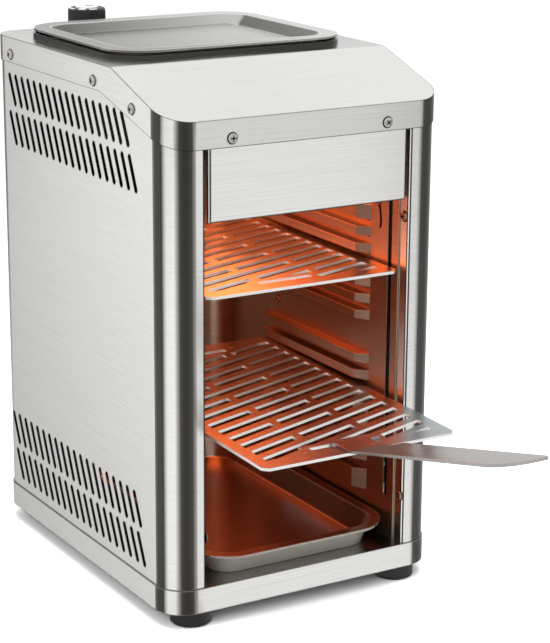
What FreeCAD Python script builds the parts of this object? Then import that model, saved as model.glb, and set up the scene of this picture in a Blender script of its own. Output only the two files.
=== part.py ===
import FreeCAD, Part
import math
import os
import re
import Sketcher
from FreeCAD import Placement, Rotation, Vector

# A gas steak grill that heats from above: a stainless box on four feet, open at the front,
# with pressed runner walls inside, two cooking grates, a drip tray below, a plate tray on
# its sloping hood and the gas valve with its knob behind the hood.
#
# Local frame of every piece: X across, centred; Y from the front plane to the back; Z up
# from the lower edge of the base pan. One placement then stands the whole on its feet.

SIZES = (
    ("body_width", 270, "width over the hood skirt and the base pan"),
    ("body_depth", 344, "depth over the hood skirt and the base pan"),
    ("corner_radius", 27, "upright corners of the body"),
    ("origin_depth", 45.07, "from the front plane to the middle of the whole grill"),
    ("gauge", 1, "thickness of the steel sheet"),
    ("lap_gap", 0.15, "gap between lapped sheets"),
    ("seat_gap", 0.3, "gap under a piece that rests on another"),
    ("foot_height", 14, "rubber foot, height"),
    ("foot_diameter", 36, "rubber foot, diameter"),
    ("foot_side", 30.5, "foot centre from the side"),
    ("foot_front", 20, "foot centre from the front"),
    ("foot_back", 30, "foot centre from the back"),
    ("pan_height", 22, "base pan, height"),
    ("pan_flange", 42, "base pan, flange turned in below"),
    ("jamb_width", 35.5, "side of the body to the front opening"),
    ("jamb_return", 30, "depth of the jamb turned in at the opening"),
    ("lip_bottom", 399, "hood lip, lower edge"),
    ("lip_top", 422.5, "hood lip, upper edge"),
    ("hood_break", 98, "depth at which the hood slope meets its flat top"),
    ("hood_top", 455, "hood, flat top"),
    ("hood_bend", 15, "radius of the hood's soft bend"),
    ("skirt_bottom", 432, "hood skirt, lower edge at the sides"),
    ("skirt_front", 30, "depth at which the lower edge starts to rise"),
    ("skirt_front_bottom", 408, "hood skirt, lower edge there"),
    ("skirt_break", 118, "depth at which the lower edge turns level"),
    ("panel_drop", 6, "side panel's top edge below the hood"),
    ("collar_front", 120, "tray opening in the hood, front"),
    ("collar_behind", 26, "tray opening in the hood, from the body's back"),
    ("collar_side", 19.5, "tray opening's collar, from the body's side"),
    ("collar_wall", 2, "tray opening's collar, wall"),
    ("collar_rise", 3.5, "tray opening's collar, height above the hood"),
    ("collar_radius", 32, "tray opening's collar, corners"),
    ("vent_width", 5.5, "vent slot, width"),
    ("vent_pitch", 13.25, "vent slots, spacing"),
    ("vent_lean", 11, "vent slot, run of its foot ahead of its head"),
    ("fascia_play", 3, "gap beside the front fascia"),
    ("fascia_bottom", 337.5, "front fascia, lower edge"),
    ("fascia_top", 417, "front fascia, upper edge behind the lip"),
    ("fascia_fold", 14, "front fascia, folded edges"),
    ("fold_radius", 2.5, "outer radius of folded sheet"),
    ("wall_front", 14, "runner wall, front edge"),
    ("wall_back", 228, "runner wall, back edge"),
    ("wall_top", 388, "runner wall and liner, upper edge"),
    ("bead_depth", 8.5, "runner bead, height of the pressing"),
    ("bead_front", 56, "runner bead, start of the ramp"),
    ("bead_ramp", 13, "runner bead, length of the ramp"),
    ("bead_height", 7.6, "runner bead, height of the crest"),
    ("bead_flare", 0.8, "runner bead, slope above and below the crest"),
    ("bead_pitch", 15.35, "runner beads, spacing"),
    ("upper_bead_top", 225, "lowest bead of the upper group, top of its crest"),
    ("upper_beads", 6, "beads in the upper group"),
    ("lower_bead_top", 92.3, "lowest bead of the lower group, top of its crest"),
    ("lower_beads", 7, "beads in the lower group"),
    ("top_bead_low", 309.5, "tall bead at the top, lower edge"),
    ("top_bead_high", 321, "tall bead at the top, upper edge"),
    ("floor_bead_low", 57.4, "tall bead at the bottom, lower edge"),
    ("floor_bead_high", 75.2, "tall bead at the bottom, upper edge"),
    ("liner_front", 206, "cavity liner, front edge behind the runner walls"),
    ("liner_behind", 21, "cavity liner, from its inner back face to the body's back"),
    ("liner_radius", 20, "cavity liner, corners"),
    ("grate_play", 4.35, "gap beside a cooking grate"),
    ("grate_behind", 6, "gap behind the upper grate"),
    ("grate_thick", 3, "cooking grate, plate thickness"),
    ("grate_corner", 5, "cooking grate, corner chamfer"),
    ("grate_side", 11.5, "cooking grate, side border"),
    ("grate_end", 16.5, "cooking grate, front and back border"),
    ("row_pitch", 18.3, "cooking grate, spacing of the slot rows"),
    ("row_slot", 9.4, "cooking grate, slot width"),
    ("row_slope", 0.333, "cooking grate, rise of a row per unit of width"),
    ("bridge_at", 29.5, "cooking grate, bridge from the middle"),
    ("bridge_width", 8, "cooking grate, bridge width"),
    ("hook_slot", 7, "handle slot, width"),
    ("hook_inset", 22, "handle slot, centre from the grate's edge"),
    ("hook_land", 6, "metal kept round a handle slot"),
    ("upper_front", 6, "upper grate, front edge"),
    ("upper_level", 3, "upper grate, bead that carries it"),
    ("lower_front", -85, "lower grate pulled out, front edge"),
    ("lower_level", 5, "lower grate, bead that carries it"),
    ("lower_tilt", 1.25, "lower grate pulled out, tilt in degrees"),
    ("bar_thick", 2.5, "handle bar, thickness"),
    ("bar_left", -15, "handle bar, left edge"),
    ("bar_width", 44.3, "handle bar, width"),
    ("bar_length", 213, "handle bar, length of the rising part"),
    ("bar_rise", 13.8, "handle bar, rise in degrees"),
    ("bar_neck", 12.5, "handle bar, notch beside the neck"),
    ("bar_neck_length", 15, "handle bar, notch ahead of the grate"),
    ("bar_corner", 25, "handle bar, large corner at its end"),
    ("bar_small_corner", 6, "handle bar, small corner at its end"),
    ("hook_drop", 15, "handle hook, length through the slot"),
    ("hook_angle", 70, "handle hook, angle below the grate in degrees"),
    ("drip_play", 3.35, "gap beside the drip tray"),
    ("drip_front", 1.5, "drip tray, front edge"),
    ("drip_behind", 16, "gap behind the drip tray"),
    ("drip_height", 21, "drip tray, height"),
    ("drip_rim", 10, "drip tray, rim width"),
    ("drip_run", 8, "drip tray, run of the sloping wall"),
    ("drip_gutter", 6, "drip tray, gutter beside the raised floor"),
    ("plate_over", 3, "top tray's rim beyond the collar, front and back"),
    ("plate_height", 10.5, "top tray, height"),
    ("plate_rim", 15, "top tray, rim width"),
    ("plate_run", 7, "top tray, run of the sloping wall"),
    ("plate_gutter", 6, "top tray, gutter beside the raised floor"),
    ("tray_corner", 38, "trays, outer corner radius"),
    ("tray_plateau", 2, "trays, height of the raised floor"),
    ("tray_edge", 2, "trays, rim edge turned down"),
    ("deck_top", 452.2, "slotted deck under the top tray, upper face"),
    ("burner_play", 12.35, "gap beside the burner housing"),
    ("burner_front", 70, "burner housing, front"),
    ("burner_behind", 33, "gap behind the burner housing"),
    ("burner_bottom", 352, "burner housing, open underside"),
    ("burner_top", 384, "burner housing, top"),
    ("window_rim", 9, "burner frame, rim below the plaques"),
    ("plaque_thick", 12, "ceramic plaque, thickness"),
    ("plaque_gap", 0.5, "clearance round a ceramic plaque"),
    ("shield_height", 22, "heat shield above the runner walls"),
    ("tube_height", 373.5, "mixing tube, axis"),
    ("tube_diameter", 18, "mixing tube, outer diameter"),
    ("jet_diameter", 9, "gas jet, diameter"),
    ("jet_inside", 9, "gas jet, length ahead of the rear panel"),
    ("jet_length", 22, "gas jet, length"),
    ("probe_diameter", 5, "thermocouple and electrode, diameter"),
    ("probe_side", 22, "thermocouple and electrode, from the knob's axis"),
    ("probe_drop", 9, "thermocouple and electrode, axis below the burner"),
    ("probe_reach", 48, "thermocouple and electrode, reach ahead of the liner's back"),
    ("knob_x", -27, "knob axis, across"),
    ("knob_back", 20.5, "knob axis, behind the body"),
    ("knob_bottom", 447, "knob, lower face"),
    ("knob_height", 21, "knob, height"),
    ("knob_diameter", 37, "knob, diameter of its skirt"),
    ("knob_grip", 33.5, "knob, diameter of its grip"),
    ("knob_cap", 27, "knob cap, diameter"),
    ("knob_cap_rise", 2, "knob cap, height above the knob"),
    ("knob_skirt", 3, "knob, height of its skirt"),
    ("flute_width", 2.2, "knob flute, width at its mouth"),
    ("flute_depth", 1.4, "knob flute, depth"),
    ("knob_bore", 8.4, "knob, bore for the stem"),
    ("knob_travel", 3, "knob, push travel"),
    ("stem_diameter", 8, "valve stem, diameter"),
    ("shelf_thick", 2, "valve bracket, thickness"),
    ("shelf_top", 443, "valve bracket, upper face"),
    ("shelf_half", 32, "valve bracket, half width"),
    ("valve_diameter", 26, "gas valve, body diameter"),
    ("valve_length", 32, "gas valve, body length"),
    ("inlet_diameter", 13.2, "gas inlet nipple, diameter"),
    ("inlet_length", 22, "gas inlet nipple, length"),
    ("pipe_diameter", 6, "gas pipe, diameter"),
    ("screw_head", 8.75, "cover screw, head diameter"),
    ("screw_rise", 2.4, "cover screw, head height"),
    ("screw_shank", 4, "cover screw, shank diameter"),
    ("screw_length", 5, "cover screw, shank length"),
    ("screw_gap", 0.3, "clearance hole over the shank"),
    ("side_screw_depth", 300, "rear side screw, depth"),
    ("screw_lift", 7.5, "screws above the lower edge of the hood's lip or skirt"),
    ("lip_screw_side", 60, "lip screw, from the body's side"),
    ("rear_screw_x", 75, "rear hood screw, from the middle"),
    ("strip_width", 40, "side panel's strip at the back, width"),
    ("strip_screw", 6, "rear panel's screws, from the strip's edge"),
)

os.makedirs("parts", exist_ok=True)
doc = FreeCAD.newDocument("steak_grill")
sheet = doc.addObject("Spreadsheet::Sheet", "Dimensions")
for row, (alias, size, note) in enumerate(SIZES, start=1):
    sheet.set(f"A{row}", note)
    sheet.set(f"B{row}", str(size))
    sheet.setAlias(f"B{row}", alias)
doc.recompute()

ALIAS = re.compile(r"\b(" + "|".join(alias for alias, _, _ in SIZES) + r")\b")
LAP = "(gauge + lap_gap)"
SCREW_HOLE = "(screw_shank + screw_gap)"
# Side of the front opening, and the side panel's outer faces
OPENING = "(body_width/2 - jamb_width)"
OUT = f"(body_width/2 - {LAP})"
BACK = f"(body_depth - {LAP})"
PANEL_RADIUS = f"(corner_radius - {LAP})"
REAR_FACE = f"({BACK} - gauge - lap_gap)"
# Faces of the runner wall and the liner, and what lies between them
WALL_OUTER = f"({OPENING} - lap_gap)"
WALL_INNER = f"({WALL_OUTER} - gauge)"
LINER_HALF = f"({WALL_OUTER} + lap_gap)"
LINER_BACK = "(body_depth - liner_behind)"
GRATE_HALF = f"({WALL_INNER} - grate_play)"
GRATE_DEPTH = f"({LINER_BACK} - grate_behind - upper_front)"
DRIP_HALF = f"({WALL_INNER} - drip_play)"
DRIP_BACK = f"({LINER_BACK} - drip_behind)"
BURNER_HALF = f"({WALL_INNER} - burner_play)"
BURNER_BACK = f"({LINER_BACK} - burner_behind)"
COLLAR_HALF = "(body_width/2 - collar_side)"
COLLAR_BACK = "(body_depth - collar_behind)"
FASCIA_HALF = f"({OPENING} - fascia_play)"
KNOB_Y = "(body_depth + knob_back)"
KNOB_TOP = "(knob_bottom + knob_height)"
pieces = {}


def number(expression):
    """Value of an expression written with the sheet's aliases."""
    result = sheet.evalExpression(str(expression))
    return float(getattr(result, "Value", result))


def bind(item, target, expression):
    """Tie one property of an object to the sheet."""
    item.setExpression(target, ALIAS.sub(r"Dimensions.\1", str(expression)))


def keep(name, item):
    """Name a finished piece and stand it on the feet."""
    item.Label = name
    bind(item, "Placement.Base.y", "-origin_depth")
    bind(item, "Placement.Base.z", "foot_height")
    pieces[name] = item
    return item


def start_body(name):
    return doc.addObject("PartDesign::Body", name)


def origin_feature(body, role):
    return next(item for item in body.Origin.OriginFeatures if item.Role == role)


def sketch_on(body, plane, offset):
    """A sketch on one of the body's own planes, shifted along the world's axis."""
    sketch = body.newObject("Sketcher::SketchObject", f"{body.Name}_sketch")
    sketch.AttachmentSupport = [(origin_feature(body, f"{plane}_Plane"), "")]
    sketch.MapMode = "FlatFace"
    sign = "-" if plane == "XZ" else ""
    bind(sketch, "AttachmentOffset.Base.z", f"{sign}({offset})")
    return sketch


def dimension(sketch, kind, places, expression):
    """A driving dimension, its points swapped where the value is negative."""
    size = number(expression)
    if kind in ("DistanceX", "DistanceY") and size < 0:
        places = places[2:] + places[:2]
        expression = f"-({expression})"
        size = -size
    index = sketch.addConstraint(Sketcher.Constraint(kind, *places, size))
    name = f"size{index}"
    sketch.renameConstraint(index, name)
    bind(sketch, f"Constraints.{name}", expression)


def place_point(sketch, geometry, position, across, up):
    dimension(sketch, "DistanceX", (-1, 1, geometry, position), across)
    dimension(sketch, "DistanceY", (-1, 1, geometry, position), up)


def draw_circle(sketch, across, up, diameter):
    centre = Vector(number(across), number(up), 0)
    circle = Part.Circle(centre, Vector(0, 0, 1), number(diameter) / 2)
    index = sketch.addGeometry(circle, False)
    place_point(sketch, index, 3, across, up)
    dimension(sketch, "Diameter", (index,), diameter)


def draw_outline(sketch, corners, closed=True):
    """Straight sides between the corners; a third value rounds that corner."""
    points = [Vector(number(corner[0]), number(corner[1]), 0) for corner in corners]
    radii = [number(corner[2]) if len(corner) > 2 else 0 for corner in corners]
    count = len(points)
    starts = list(points)
    ends = list(points)
    arcs = {}
    for index, radius in enumerate(radii):
        if radius <= 0:
            continue
        back = (points[index - 1] - points[index]).normalize()
        ahead = (points[(index + 1) % count] - points[index]).normalize()
        half = back.getAngle(ahead) / 2
        reach = radius / math.tan(half)
        ends[index] = points[index] + back * reach
        starts[index] = points[index] + ahead * reach
        middle = points[index] + (back + ahead).normalize() * (radius / math.sin(half))
        turns_left = back.cross(ahead).z < 0
        first, last = (ends[index], starts[index]) if turns_left else (starts[index], ends[index])
        angles = [math.atan2(point.y - middle.y, point.x - middle.x) for point in (first, last)]
        circle = Part.Circle(middle, Vector(0, 0, 1), radius)
        arcs[index] = (Part.ArcOfCircle(circle, *angles), turns_left)
    lines = []
    sides = count if closed else count - 1
    for index in range(sides):
        line = Part.LineSegment(starts[index], ends[(index + 1) % count])
        lines.append(sketch.addGeometry(line, False))
    for index, corner in enumerate(corners):
        before = lines[index - 1] if closed or index > 0 else None
        after = lines[index] if index < sides else None
        if index in arcs:
            arc, turns_left = arcs[index]
            bend = sketch.addGeometry(arc, False)
            mark = sketch.addGeometry(Part.Point(points[index]), True)
            near, far = (1, 2) if turns_left else (2, 1)
            sketch.addConstraint(Sketcher.Constraint("Tangent", before, 2, bend, near))
            sketch.addConstraint(Sketcher.Constraint("Tangent", bend, far, after, 1))
            sketch.addConstraint(Sketcher.Constraint("PointOnObject", mark, 1, before))
            sketch.addConstraint(Sketcher.Constraint("PointOnObject", mark, 1, after))
            place_point(sketch, mark, 1, corner[0], corner[1])
            dimension(sketch, "Radius", (bend,), corner[2])
            continue
        if before is not None and after is not None:
            sketch.addConstraint(Sketcher.Constraint("Coincident", before, 2, after, 1))
        if after is not None:
            place_point(sketch, after, 1, corner[0], corner[1])
        else:
            place_point(sketch, before, 2, corner[0], corner[1])


def draw(sketch, loops):
    for loop in loops:
        if isinstance(loop, list):
            draw_outline(sketch, loop)
        else:
            draw_circle(sketch, *loop)


def slab(body, plane, low, high, loops, cut=False):
    """Pad or pocket of the loops, from one level to another along the plane's axis."""
    sketch = sketch_on(body, plane, high if plane == "XZ" else low)
    draw(sketch, loops)
    kind = "Pocket" if cut else "Pad"
    before = volume(body)
    feature = body.newObject(f"PartDesign::{kind}", f"{body.Name}_{kind.lower()}")
    feature.Profile = sketch
    feature.Reversed = cut
    bind(feature, "Length", f"({high}) - ({low})")
    return settle(body, feature, before, cut)


def volume(body):
    return 0 if body.Shape.isNull() else body.Shape.Volume


def settle(body, feature, before, cut=False):
    """Make a feature the body's tip, and see that it changed the solid the right way."""
    body.Tip = feature
    doc.recompute()
    grown = volume(body) - before
    if (grown >= 0) if cut else (grown <= 0):
        raise ValueError(f"{feature.Name} changed nothing: {before:.1f} to {volume(body):.1f}")
    return feature


def repeat(body, features, role, spacing, count):
    """Copies of the features along one of the body's axes."""
    pattern = body.newObject("PartDesign::LinearPattern", f"{body.Name}_pattern")
    pattern.Originals = features
    pattern.Direction = (origin_feature(body, role), [""])
    pattern.Mode = "Spacing"
    bind(pattern, "Offset", spacing)
    bind(pattern, "Occurrences", count)
    body.Tip = pattern
    doc.recompute()
    return pattern


def round_edges(body, radius, chosen):
    """Fillet of the edges that the test picks."""
    base = body.Tip
    names = [f"Edge{index}" for index, edge in enumerate(base.Shape.Edges, start=1) if chosen(edge)]
    fillet = body.newObject("PartDesign::Fillet", f"{body.Name}_fillet")
    fillet.Base = (base, names)
    bind(fillet, "Radius", radius)
    body.Tip = fillet
    doc.recompute()
    return fillet


def rectangle(left, right, front, back, radius=None):
    """Corners of a rectangle, rounded where a radius is given."""
    corners = [(left, front), (right, front), (right, back), (left, back)]
    return [corner + (radius,) for corner in corners] if radius else corners


def centred(half, front, back, radius=None):
    return rectangle(f"-({half})", half, front, back, radius)


def chamfered(left, right, front, back, cut):
    """Corners of a rectangle with its corners cut off."""
    return [(f"{left} + {cut}", front), (f"{right} - {cut}", front),
            (right, f"{front} + {cut}"), (right, f"{back} - {cut}"),
            (f"{right} - {cut}", back), (f"{left} + {cut}", back),
            (left, f"{back} - {cut}"), (left, f"{front} + {cut}")]


def ring(across, up, diameter, sides):
    """Corners of a regular outline whose corners lie on the diameter."""
    turns = [2 * math.pi * (index + 0.5) / sides for index in range(sides)]
    return [(f"{across} + ({diameter})*{math.cos(turn) / 2:.6f}",
             f"{up} + ({diameter})*{math.sin(turn) / 2:.6f}") for turn in turns]


def hole(across, up, diameter, sides):
    """Corners of a regular outline whose sides touch the diameter from outside."""
    return ring(across, up, f"({diameter})/{math.cos(math.pi / sides):.6f}", sides)


def screw_holes(places):
    """Clearance holes hidden under screw heads, six-sided to keep the meshes light."""
    return [hole(across, up, SCREW_HOLE, 6) for across, up in places]


def footprint(inset):
    """The body's rounded plan, drawn in by an inset."""
    half = f"body_width/2 - {inset}"
    return centred(half, inset, f"body_depth - {inset}", f"corner_radius - {inset}")


def loft(body, plane, sections, cut=False):
    """Ruled loft through outlines at their levels."""
    sketches = []
    for level, corners in sections:
        sketch = sketch_on(body, plane, level)
        draw_outline(sketch, corners)
        sketches.append(sketch)
    kind = "SubtractiveLoft" if cut else "AdditiveLoft"
    before = volume(body)
    feature = body.newObject(f"PartDesign::{kind}", f"{body.Name}_loft")
    feature.Profile = sketches[0]
    feature.Sections = sketches[1:]
    feature.Ruled = True
    return settle(body, feature, before, cut)


def mirror_piece(name, body):
    """The same pressing for the other side."""
    twin = doc.addObject("Part::Mirroring", name)
    twin.Source = body
    twin.Normal = Vector(1, 0, 0)
    twin.Label = name
    pieces[name] = twin
    return twin


def prism(diameter, top_diameter, low, high, sides):
    """A regular prism or frustum on the Z axis."""
    rings = []
    for width, level in ((diameter, low), (top_diameter, high)):
        corners = [Vector(width / 2 * math.cos(2 * math.pi * index / sides),
                          width / 2 * math.sin(2 * math.pi * index / sides), level)
                   for index in range(sides)]
        rings.append(Part.makePolygon(corners + corners[:1]))
    return Part.makeLoft(rings, True, True)


HEAD_SIDES = 8


def screws(name, places, outward, head, rise, shank, length):
    """Pan-head screws: the head stands outward from each place, the shank runs in."""
    width = number(head)
    height = number(rise)
    edge = height * 0.45
    solid = prism(width, width, 0, edge, HEAD_SIDES)
    solid = solid.fuse(prism(width, width * 0.55, edge, height, HEAD_SIDES))
    solid = solid.fuse(prism(number(shank), number(shank), -number(length), 0, 6)).removeSplitter()
    solids = []
    for place in places:
        copy = solid.copy()
        turn = Rotation(Vector(0, 0, 1), outward(place) if callable(outward) else outward)
        copy.Placement = Placement(Vector(*[number(value) for value in place]), turn)
        solids.append(copy)
    feature = doc.addObject("Part::Feature", name)
    feature.Shape = Part.makeCompound(solids)
    return keep(name, feature)


# Base pan: an inverted pressed tray with a wide flange turned in below for the feet
FEET = [(f"{side}*(body_width/2 - foot_side)", depth)
        for side in (-1, 1) for depth in ("foot_front", "body_depth - foot_back")]

base_pan = start_body("base_pan")
slab(base_pan, "XY", 0, "pan_height", [footprint("0")])
slab(base_pan, "XY", "gauge", "pan_height - gauge", [footprint("gauge")], cut=True)
pan_window = centred("body_width/2 - pan_flange", "pan_flange", "body_depth - pan_flange")
slab(base_pan, "XY", 0, "gauge", [pan_window] + screw_holes(FEET), cut=True)
keep("base_pan", base_pan)

# Rubber feet: a puck with a bevel below, hollowed for the screw's head
FOOT_RECESS = "foot_height/2"
FOOT_SIDES = 24


def rubber_foot():
    width = number("foot_diameter")
    height = number("foot_height")
    bevel = height / 8
    recess = number("screw_head + 2")
    bore = number(SCREW_HOLE) / math.cos(math.pi / 6)
    puck = prism(width - 2 * bevel, width, -height, bevel - height, FOOT_SIDES)
    puck = puck.fuse(prism(width, width, bevel - height, 0, FOOT_SIDES)).removeSplitter()
    puck = puck.cut(prism(recess, recess, -height, -number(FOOT_RECESS), FOOT_SIDES // 2))
    return puck.cut(prism(bore, bore, -height, 0, 6))


feet = []
for x, y in FEET:
    foot = rubber_foot()
    foot.Placement = Placement(Vector(number(x), number(y), 0), Rotation())
    feet.append(foot)
rubber_feet = doc.addObject("Part::Feature", "rubber_feet")
rubber_feet.Shape = Part.makeCompound(feet)
keep("rubber_feet", rubber_feet)

screws("foot_screws", [(x, y, f"{FOOT_RECESS} - foot_height") for x, y in FEET], Vector(0, 0, -1),
       "screw_head", "screw_rise", "screw_shank", f"foot_height - {FOOT_RECESS} + 3*gauge")

# Side panel: one sheet folded from the jamb's return round the front corner, the side and
# the back corner, with four rows of leaning vent slots

# Screws: depth or distance across, and height
SKIRT_SCREW = "skirt_bottom + screw_lift"
side_screws = [("side_screw_depth", SKIRT_SCREW), ("skirt_break + 12.5", SKIRT_SCREW),
               ("2*skirt_front", "lip_top + 3.5")]
jamb_screws = [("jamb_return/4", "fascia_bottom - 16"), ("jamb_return/6", "pan_height + 45")]
front_screws = [(f"{side}*(body_width/2 - lip_screw_side)", "lip_bottom + screw_lift")
                for side in (-1, 1)]
rear_skirt_screws = [(f"{side}*rear_screw_x", SKIRT_SCREW) for side in (-1, 1)]
rear_strip_screws = [(f"{side}*({OUT} - strip_width + strip_screw)", z)
                     for side in (-1, 1) for z in ("3*pan_height", "hood_top - 75")]

# Vent rows: depth of the rearmost slot from the body's back, lower and upper end, slots
VENT_ROWS = ((43.4, 393, 422, 18), (43.5, 357, 387.5, 19),
             (31.5, 65, 95.5, 20), (38.2, 31, 60, 20))


def leaning_slot(middle, low, high):
    """Cutter for one vent slot, its foot ahead of its head, its ends with four equal sides."""
    radius = number("vent_width/2")
    lean = Vector(0, number("vent_lean/2"), 0)
    centre = Vector(number(f"{OUT} - 3*gauge"), middle, 0)
    foot = centre - lean + Vector(0, 0, low + radius)
    head = centre + lean + Vector(0, 0, high - radius)
    along = (head - foot).normalize() * radius
    across = Vector(0, along.z, -along.y)
    narrow = math.tan(math.pi / 8)
    corners = [
        foot - across * narrow - along, foot + across * narrow - along,
        foot + across - along * narrow, head + across + along * narrow,
        head + across * narrow + along, head - across * narrow + along,
        head - across + along * narrow, foot - across - along * narrow,
    ]
    face = Part.Face(Part.makePolygon(corners + corners[:1]))
    return face.extrude(Vector(number("6*gauge"), 0, 0))


def side_panel():
    panel = start_body("panel_sheet")
    inner = "gauge"
    strip_end = f"{OUT} - strip_width"
    plan = [
        (OPENING, "jamb_return"), (OPENING, LAP, "fold_radius"), (OUT, LAP, PANEL_RADIUS),
        (OUT, BACK, PANEL_RADIUS), (strip_end, BACK), (strip_end, f"{BACK} - {inner}"),
        (f"{OUT} - {inner}", f"{BACK} - {inner}", f"{PANEL_RADIUS} - {inner}"),
        (f"{OUT} - {inner}", f"{LAP} + {inner}", f"{PANEL_RADIUS} - {inner}"),
        (f"{OPENING} + {inner}", f"{LAP} + {inner}", f"fold_radius - {inner}"),
        (f"{OPENING} + {inner}", "jamb_return"),
    ]
    slab(panel, "XY", "pan_height", "hood_top", [plan])
    above = "hood_top + 10"
    top_cut = [("-5", "lip_top - panel_drop"), ("0", "lip_top - panel_drop"),
               ("hood_break", "hood_top - panel_drop"),
               ("body_depth + 5", "hood_top - panel_drop"), ("body_depth + 5", above),
               ("-5", above)]
    slab(panel, "YZ", "0", "body_width", [top_cut], cut=True)
    slab(panel, "YZ", f"{OUT} - 3*gauge", "body_width/2", screw_holes(side_screws), cut=True)
    slab(panel, "YZ", f"{OPENING} - gauge", f"{OPENING} + 3*gauge", screw_holes(jamb_screws), cut=True)
    slab(panel, "XZ", f"{BACK} - 3*gauge", "body_depth", screw_holes(rear_strip_screws[2:]), cut=True)
    vents = doc.addObject("Part::Feature", "vent_cutters")
    vents.Shape = Part.makeCompound([
        leaning_slot(number(f"body_depth - {behind} - {index}*vent_pitch"), low, high)
        for behind, low, high, count in VENT_ROWS for index in range(count)])
    vented = doc.addObject("Part::Cut", "right_side_panel")
    vented.Base = panel
    vented.Tool = vents
    return vented


right_side_panel = keep("right_side_panel", side_panel())
mirror_piece("left_side_panel", right_side_panel)

# Rear panel: a flat sheet inside the side panels' back strips, with a hole for the jet
rear_panel = start_body("rear_panel")
rear_half = f"{OUT} - strip_width + 2*strip_screw"
slab(rear_panel, "XZ", f"{REAR_FACE} - gauge", REAR_FACE,
     [centred(rear_half, "pan_height", "hood_top - panel_drop")]
     + screw_holes(rear_strip_screws + rear_skirt_screws)
     + [hole("knob_x", "tube_height", "jet_diameter + screw_gap", 12)])
keep("rear_panel", rear_panel)

# Hood: pressed from one sheet, its lip and skirt round the whole body, its front sloping up
# to the flat top, where a low collar stands round the tray opening


def hood_block(name, inset):
    """The hood's outer form, drawn in by an inset all round."""
    block = start_body(name)
    lean = f"{inset}*tan(atan((hood_top - lip_top)/hood_break)/2)"
    profile = [
        ("0", f"lip_bottom - {inset}"), ("skirt_front", f"skirt_front_bottom - {inset}"),
        ("skirt_break", f"skirt_bottom - {inset}"), ("body_depth", f"skirt_bottom - {inset}"),
        ("body_depth", f"hood_top - {inset}"),
        (f"hood_break + {lean}", f"hood_top - {inset}", f"hood_bend - {inset}"),
        ("0", f"lip_top - {inset}/cos(atan((hood_top - lip_top)/hood_break))"),
    ]
    slab(block, "YZ", "-body_width/2", "body_width/2", [profile])
    around = centred("body_width", "-body_depth", "2*body_depth")
    slab(block, "XY", "0", "2*hood_top", [around, footprint(inset)], cut=True)
    return block


hood_outer = hood_block("hood_outer", "0")
collar = centred(COLLAR_HALF, "collar_front", COLLAR_BACK, "collar_radius")
collar_bore = centred(f"{COLLAR_HALF} - collar_wall", "collar_front + collar_wall",
                      f"{COLLAR_BACK} - collar_wall", "collar_radius - collar_wall")
slab(hood_outer, "XY", "hood_top - gauge/2", "hood_top + collar_rise", [collar])
slab(hood_outer, "XY", "hood_top - 10*gauge", "hood_top + collar_rise + gauge", [collar_bore], cut=True)
for side_low, side_high in (("body_width/2 - 3*gauge", "body_width/2 + gauge"),
                            ("-body_width/2 - gauge", "-body_width/2 + 3*gauge")):
    slab(hood_outer, "YZ", side_low, side_high, screw_holes(side_screws), cut=True)
slab(hood_outer, "XZ", "-gauge", "3*gauge", screw_holes(front_screws), cut=True)
slab(hood_outer, "XZ", "body_depth - 3*gauge", "body_depth + gauge",
     screw_holes(rear_skirt_screws), cut=True)
top_cover = doc.addObject("Part::Cut", "top_cover")
top_cover.Base = hood_outer
top_cover.Tool = hood_block("hood_hollow", "gauge")
keep("top_cover", top_cover)

# Screws that hold the hood, the jambs and the back
cover_places = [(f"{side}*body_width/2", y, z) for side in (-1, 1) for y, z in side_screws]
cover_places += [(x, "0", z) for x, z in front_screws]
cover_places += [(x, "body_depth", z) for x, z in rear_skirt_screws]


def face_direction(place):
    """Outward direction of the body face that a place lies on."""
    x, y, _ = [number(value) for value in place]
    if abs(abs(x) - number("body_width") / 2) < 1e-6:
        return Vector(math.copysign(1, x), 0, 0)
    return Vector(0, -1 if y < number("body_depth") / 2 else 1, 0)


screws("cover_screws", cover_places, face_direction, "screw_head", "screw_rise", "screw_shank",
       "screw_length")
screws("jamb_screws", [(f"{side}*{OPENING}", y, z) for side in (-1, 1) for y, z in jamb_screws],
       lambda place: Vector(-math.copysign(1, number(place[0])), 0, 0),
       "screw_head", "screw_rise", "screw_shank", "screw_length")
screws("rear_screws", [(x, BACK, z) for x, z in rear_strip_screws], Vector(0, 1, 0),
       "screw_head", "screw_rise", "screw_shank", "screw_length")

# Fascia: a shallow pressed panel behind the hood's lip, its side and lower edges folded back
fascia = start_body("fascia_panel")
slab(fascia, "XZ", LAP, f"{LAP} + fascia_fold", [centred(FASCIA_HALF, "fascia_bottom", "fascia_top")])
round_edges(fascia, "fold_radius",
            lambda edge: edge.BoundBox.YMax < number(LAP) + 1e-6 and
            edge.CenterOfMass.z < number("fascia_top") - 1)
slab(fascia, "XZ", f"{LAP} + gauge", f"{LAP} + fascia_fold + gauge",
     [centred(f"{FASCIA_HALF} - gauge", "fascia_bottom + gauge", "fascia_top + gauge")], cut=True)
slab(fascia, "XZ", "0", f"{LAP} + 2*gauge", screw_holes(front_screws), cut=True)
keep("fascia_panel", fascia)

# Runner wall: pressed with ramped beads that carry the grates, each bead a hollow shelf
# whose ramp leads a grate in from the front
# Rise of a bead's flank above its crest where a grate's edge rests on it
FLANK = "(bead_flare*(bead_depth - grate_play)/bead_depth)"
wall_screws = [("bead_front - 10", "fascia_bottom - 10.5"), ("wall_back - 13", "upper_bead_top - 25")]


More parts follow.
